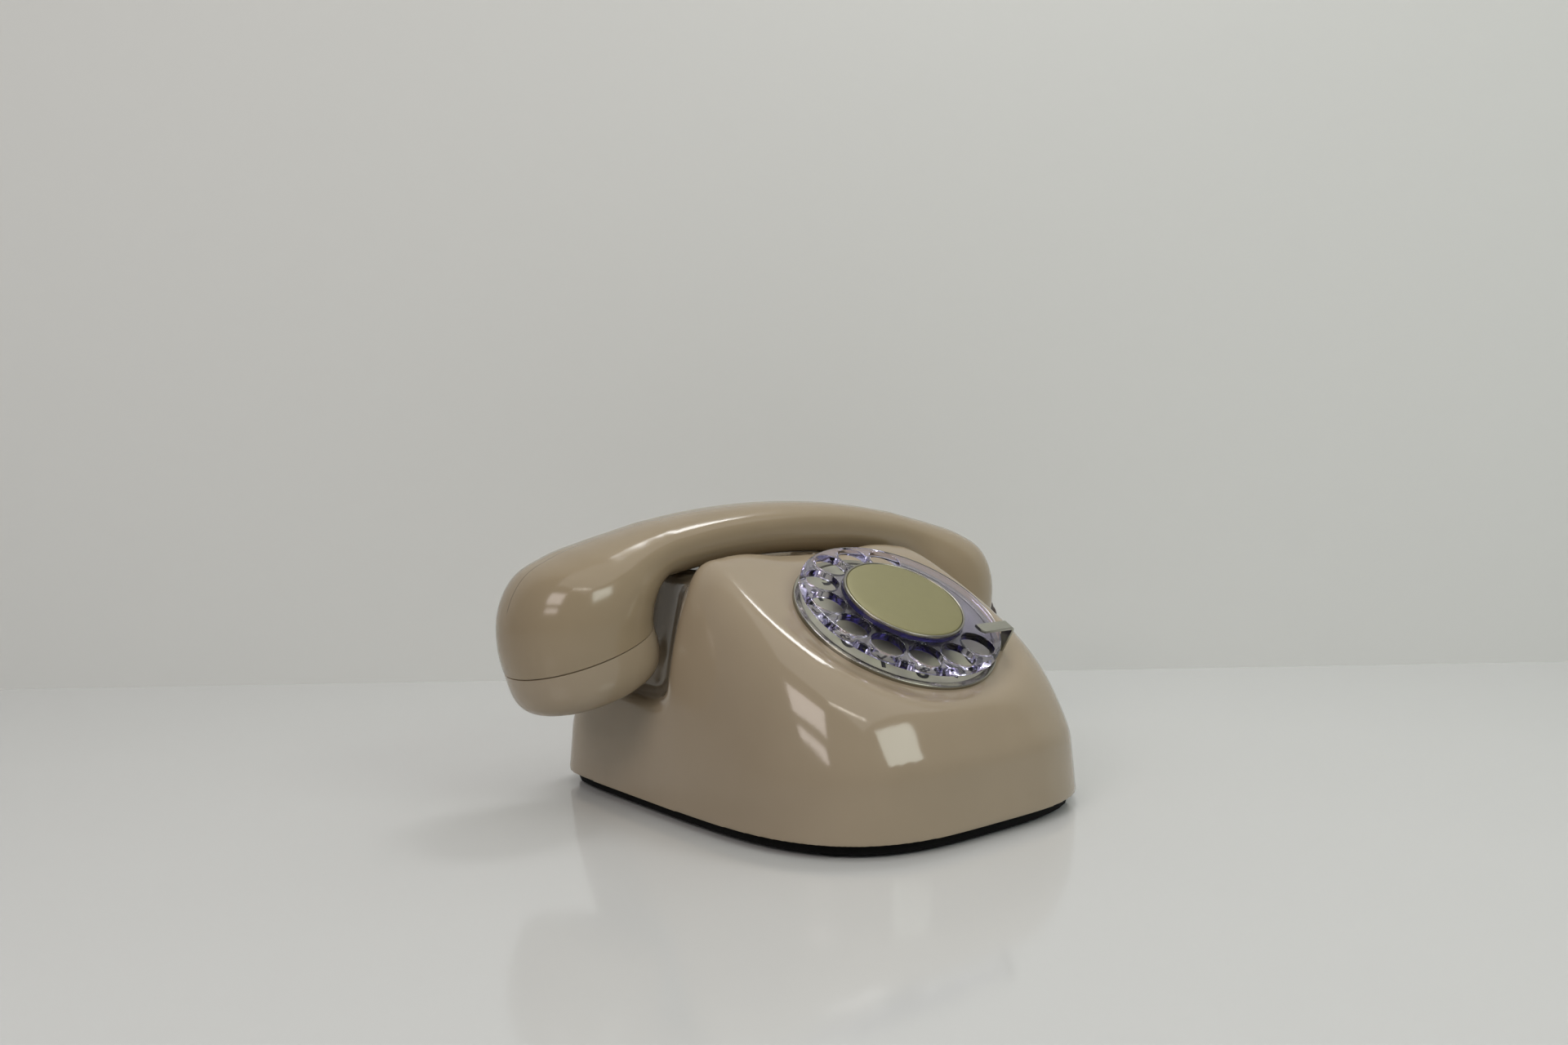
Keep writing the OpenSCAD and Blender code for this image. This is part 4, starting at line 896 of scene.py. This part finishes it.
# %% Digits
DIGIT_SIZE, DIGIT_RING_R = 10.5, 31
digit_parts = []
for at, figure in zip(HOLE_ANGLES, "1234567890"):
    glyph = bpy.data.curves.new("figure", "FONT")
    glyph.body = figure
    glyph.size = DIGIT_SIZE * MM
    glyph.offset = 0.3 * MM
    glyph.extrude = 0.03 * MM
    glyph.shear = 0.18
    glyph.align_x = "CENTER"
    glyph.align_y = "CENTER"
    flat = in_scene("figure", glyph)
    mesh = bpy.data.meshes.new_from_object(flat.evaluated_get(bpy.context.evaluated_depsgraph_get()))
    spot = ON_DIAL @ Vector((DIGIT_RING_R * math.cos(at), DIGIT_RING_R * math.sin(at), 0.05))
    points = np.array([tuple(ON_DIAL.to_3x3() @ (v.co / MM) + spot) for v in mesh.vertices])
    digit_parts.append((points, [list(face.vertices) for face in mesh.polygons]))
    bpy.data.objects.remove(flat)
digits = new_piece("dial_figures", *joined(digit_parts), digit_ink)
stands_for(digits, "base", "number_plate_enamel")
print("figures:", len(digit_parts))

# %% [markdown]
# The bright ring round the number plate, the centre plate and its thin rim are turned from sheet, so each is
# a small profile with edges rounded by fractions of a millimetre. Those roundings carry the bright lines
# that show how crisp metal is.

# %% Rings and centre plate
BEZEL_R, BEZEL_WALL, BEZEL_HIGH = 39.1, 2.6, 0.5
bezel_profile = [(BEZEL_R - BEZEL_WALL, -WELL_DEPTH), (BEZEL_R, -WELL_DEPTH)]
bezel_profile += arc(BEZEL_R - 0.5, BEZEL_HIGH - 0.5, 0.5, 0, 90, 8)
bezel_profile += arc(BEZEL_R - BEZEL_WALL + 0.4, BEZEL_HIGH - 0.4, 0.4, 90, 180, 5)
bezel = new_piece("bezel_ring_turned", *turned(bezel_profile, ON_DIAL, 256, ring=True), chrome_plate, 30)
stands_for(bezel, "base", "chrome_ring", "bezel_ring")

CENTRE_R = 22.2
plate_profile = [(AXIS_R, BOSS_HIGH), (CENTRE_R - 0.05, BOSS_HIGH)]
plate_profile += arc(CENTRE_R - 0.55, BOSS_HIGH + 0.5, 0.5, 0, 90, 5)
plate_profile += [(r, BOSS_HIGH + 1.2 - 0.2 * (r / CENTRE_R) ** 2) for r in (19, 15, 10, 5, AXIS_R)]
centre_plate = new_piece("centre_plate_pressed", *turned(plate_profile, ON_DIAL), gold_lacquer, 30)
stands_for(centre_plate, "dial", "centre_gold", "centre_plate")

rim_profile = [(CENTRE_R, BOSS_HIGH), (CENTRE_R + 0.9, BOSS_HIGH)]
rim_profile += arc(CENTRE_R + 0.45, BOSS_HIGH + 0.55, 0.45, 0, 180, 9)
centre_rim = new_piece("centre_rim_turned", *turned(rim_profile, ON_DIAL, 192, ring=True), chrome_plate, 30)
stands_for(centre_rim, "dial", "chrome_ring", "centre_rim")
print("rings and centre plate done")

# %% [markdown]
# The finger stop is a strip of spring steel, 1.1 mm thick, bent over the wheel's edge. It is a row of flat
# sections along the bend, with tiny cut corners. Its inner end is cut on a slant and its leg narrows where it
# dives past the ring.

# %% Finger stop
STOP_T, STOP_BACK, STOP_FRONT, STOP_IN_X, STOP_OUT_X, STOP_HIGH = 1.1, -19.6, -24.2, 18.5, 35.39, 9.2
BEND_R = 1.2


def stop_section(x, z, lean, back_y, front_y):
    """A flat ring across the strip. lean is the angle of its outer face from upright."""
    half, nick = STOP_T / 2, 0.12
    out = np.array([math.sin(lean), 0, math.cos(lean)])
    corners = [(back_y - nick, half), (back_y, half - nick), (back_y, nick - half),
               (back_y - nick, -half), (front_y + nick, -half), (front_y, nick - half),
               (front_y, half - nick), (front_y + nick, half)]
    return [np.array([x, 0, z]) + np.array([0, y, 0]) + depth * out for y, depth in corners]


level_z = STOP_HIGH + STOP_T / 2
leg_x = STOP_OUT_X - STOP_T / 2
bend_x, bend_z = leg_x - BEND_R, level_z - BEND_R
stop_rings = [stop_section(STOP_IN_X + 0.1 + 0.25 * step, level_z, 0, STOP_BACK,
                           STOP_FRONT + 1.4 * (1 - step / 5)) for step in range(6)]
for a in np.linspace(0, math.pi / 2, 7):
    x, z = bend_x + BEND_R * math.sin(a), bend_z + BEND_R * math.cos(a)
    stop_rings.append(stop_section(x, z, a, STOP_BACK, STOP_FRONT))
stop_rings += [stop_section(leg_x, bend_z - drop, math.pi / 2, STOP_BACK - narrow, STOP_FRONT + 0.3 * narrow)
               for drop, narrow in ((4, 0.6), (9, 1.3), (14.5, 1.3))]
stop_points, stop_faces = lofted(np.array(stop_rings))
stop_points = placed(stop_points, ON_DIAL)
finger_stop = new_piece("finger_stop_bent", *outward(stop_points, stop_faces), stop_steel, 35)
stands_for(finger_stop, "base", "satin_steel", "finger_stop")
print("finger stop sections:", len(stop_rings))

# %% [markdown]
# ## Finishes for the other parts
#
# The base plate, feet, screws, switch, bell and board keep their shape. Each takes the finish of its slot in
# the record, so a repaint of the slot repaints them all.

# %% Finishes by slot
FINISHES = {
    "ivory_plastic": ivory_abs, "black_moulding": black_abs_painted_shade, "black_rubber": foot_rubber,
    "zinc_steel": zinc_steel, "satin_steel": stop_steel, "chrome_ring": chrome_plate,
    "number_plate_enamel": plate_enamel, "clear_wheel": clear_acrylic, "centre_gold": gold_lacquer,
    "gear_brass": spring_brass, "gong_brass": bell_brass, "white_nylon": white_nylon,
    "board_phenolic": phenolic, "coil_copper": copper_winding, "capacitor_can": spun_can,
    "capsule_can": spun_can, "wire_insulation": wire_pvc, "brown_cord": brown_pvc,
}
for part in frame["record"]["subparts"]:
    node = frame["nodes"][part["node"]]
    node.data.materials.clear()
    node.data.materials.append(FINISHES[part["material_slot"]])

# %% [markdown]
# ## Table, wall and light
#
# The telephone stands on a glossy white table in front of a pale wall. The table is a plain sheet with a
# little gloss, so it mirrors the telephone faintly. The wall is seen from its front only, so that a camera
# behind it still sees the telephone. The daylight of a plain room is even, so the world gives most of the
# light, and a few soft panels give the highlights that show the plastic's curves.

# %% Table and wall
WALL_DISTANCE, ROOM_HALF, TABLE_DEPTH, WALL_HEIGHT = 0.748, 3, 5, 2
table_white = new_material("laminate_white_gloss", "#D2D3D3", IOR=1.5, Roughness=0.06)
table_place = add_node(table_white, "ShaderNodeTexCoord")
table_haze = add_node(table_white, "ShaderNodeTexNoise", {"Scale": 6.0, "Detail": 3},
                      Vector=table_place.outputs["Object"])
table_gloss = add_node(table_white, "ShaderNodeMapRange", {"To Min": 0.07, "To Max": 0.13},
                       Value=table_haze.outputs["Fac"])
link(shader(table_white), Roughness=table_gloss.outputs["Result"])
flat_ahead = Vector((ahead.x, ahead.y, 0)).normalized()
flat_right = Vector((flat_ahead.y, -flat_ahead.x, 0))
wall_foot = Vector((eye.x, eye.y, 0)) + WALL_DISTANCE * flat_ahead
left_foot, right_foot = wall_foot - ROOM_HALF * flat_right, wall_foot + ROOM_HALF * flat_right
nearer, higher = -TABLE_DEPTH * flat_ahead, Vector((0, 0, WALL_HEIGHT))
table_corners = (left_foot + nearer, right_foot + nearer, right_foot, left_foot)
table = new_piece("table_top", [tuple(c / MM) for c in table_corners], [[0, 1, 2, 3]], table_white)

wall_paint = new_material("emulsion_pale_grey", "#E0E1DF", Roughness=0.7)
wall_grain = add_node(wall_paint, "ShaderNodeTexNoise", {"Scale": 3.0, "Detail": 3})
wall_mix = add_node(wall_paint, "ShaderNodeMixRGB",
                    {"Color1": linear("#DEDFDD"), "Color2": linear("#E2E3E1")}, Fac=wall_grain.outputs["Fac"])
link(shader(wall_paint), Base_Color=wall_mix.outputs["Color"])
side_seen = add_node(wall_paint, "ShaderNodeNewGeometry")
see_through = add_node(wall_paint, "ShaderNodeBsdfTransparent")
one_sided = add_node(wall_paint, "ShaderNodeMixShader", Fac=side_seen.outputs["Backfacing"])
for socket, source in ((1, shader(wall_paint)), (2, see_through)):
    wall_paint.node_tree.links.new(source.outputs["BSDF"], one_sided.inputs[socket])
link(output(wall_paint), Surface=one_sided.outputs["Shader"])
wall_corners = (left_foot, right_foot, right_foot + higher, left_foot + higher)
wall = new_piece("wall", [tuple(c / MM) for c in wall_corners], [[0, 1, 2, 3]], wall_paint)
print("wall", WALL_DISTANCE, "m in front of the camera")

# %% World and panels
world = bpy.data.worlds.new("room")
world.use_nodes = True
bpy.context.scene.world = world
room_light = world.node_tree.nodes["Background"]
room_light.inputs["Color"].default_value = linear("#C9CBCC")
room_light.inputs["Strength"].default_value = 0.355


def towards(azimuth, elevation):
    """The direction away from the telephone. Azimuth 0 is its front and 90 its right, in degrees."""
    azimuth, elevation = math.radians(azimuth), math.radians(elevation)
    return Vector((math.sin(azimuth) * math.cos(elevation), -math.cos(azimuth) * math.cos(elevation),
                   math.sin(elevation)))


def lamp_at(name, place, facing, width, height, watts, colour):
    """A soft rectangular lamp with its own place and facing."""
    lamp = bpy.data.lights.new(name, "AREA")
    lamp.shape = "RECTANGLE"
    lamp.size, lamp.size_y = width, height
    lamp.energy = watts
    lamp.color = linear(colour)[:3]
    holder = in_scene(name, lamp)
    holder.location = place
    holder.rotation_euler = facing.to_euler()


MIDDLE = Vector((0, 0, 0.06))
# Name, (azimuth, elevation), distance, width, height, power and colour
PANELS = [
    ("window_left", (-73, 37), 1.6, 0.66, 0.42, 4.3, "#FFF4F0"),
    ("window_left_low", (-73, 22), 1.6, 0.55, 0.13, 1.2, "#FFF4F0"),
    ("window_front", (9, 32), 1.7, 0.8, 0.46, 5.8, "#F8FFF6"),
    ("ceiling_panel", (112, 69), 0.75, 0.22, 0.16, 1.3, "#FFFFFF"),
    ("ceiling_glow", (20, 76), 1.8, 2.4, 2.0, 12.5, "#FFFDF8"),
]
for name, direction, distance, width, height, watts, colour in PANELS:
    away = towards(*direction)
    lamp_at(name, MIDDLE + distance * away, (-away).to_track_quat("-Z", "Y"), width, height, watts, colour)

# A thin tube between two directions, for the fine bright line along the shoulder
TUBE_DISTANCE, TUBE_WIDTH = 1.9, 0.014
tube_start, tube_end = TUBE_DISTANCE * towards(-48, 52), TUBE_DISTANCE * towards(-11, 46)
along = (tube_end - tube_start).normalized()
outwards = (tube_start + tube_end).normalized()
outwards = (outwards - along * outwards.dot(along)).normalized()
tube_facing = Matrix((along, outwards.cross(along), outwards)).transposed()
lamp_at("ceiling_tube", MIDDLE + (tube_start + tube_end) / 2, tube_facing, (tube_end - tube_start).length,
        TUBE_WIDTH, 1.2, "#FFF8EC")
print("lamps:", len(PANELS) + 1)

# %% Colour
bpy.context.scene.view_settings.view_transform = "Standard"
bpy.context.view_layer.update()
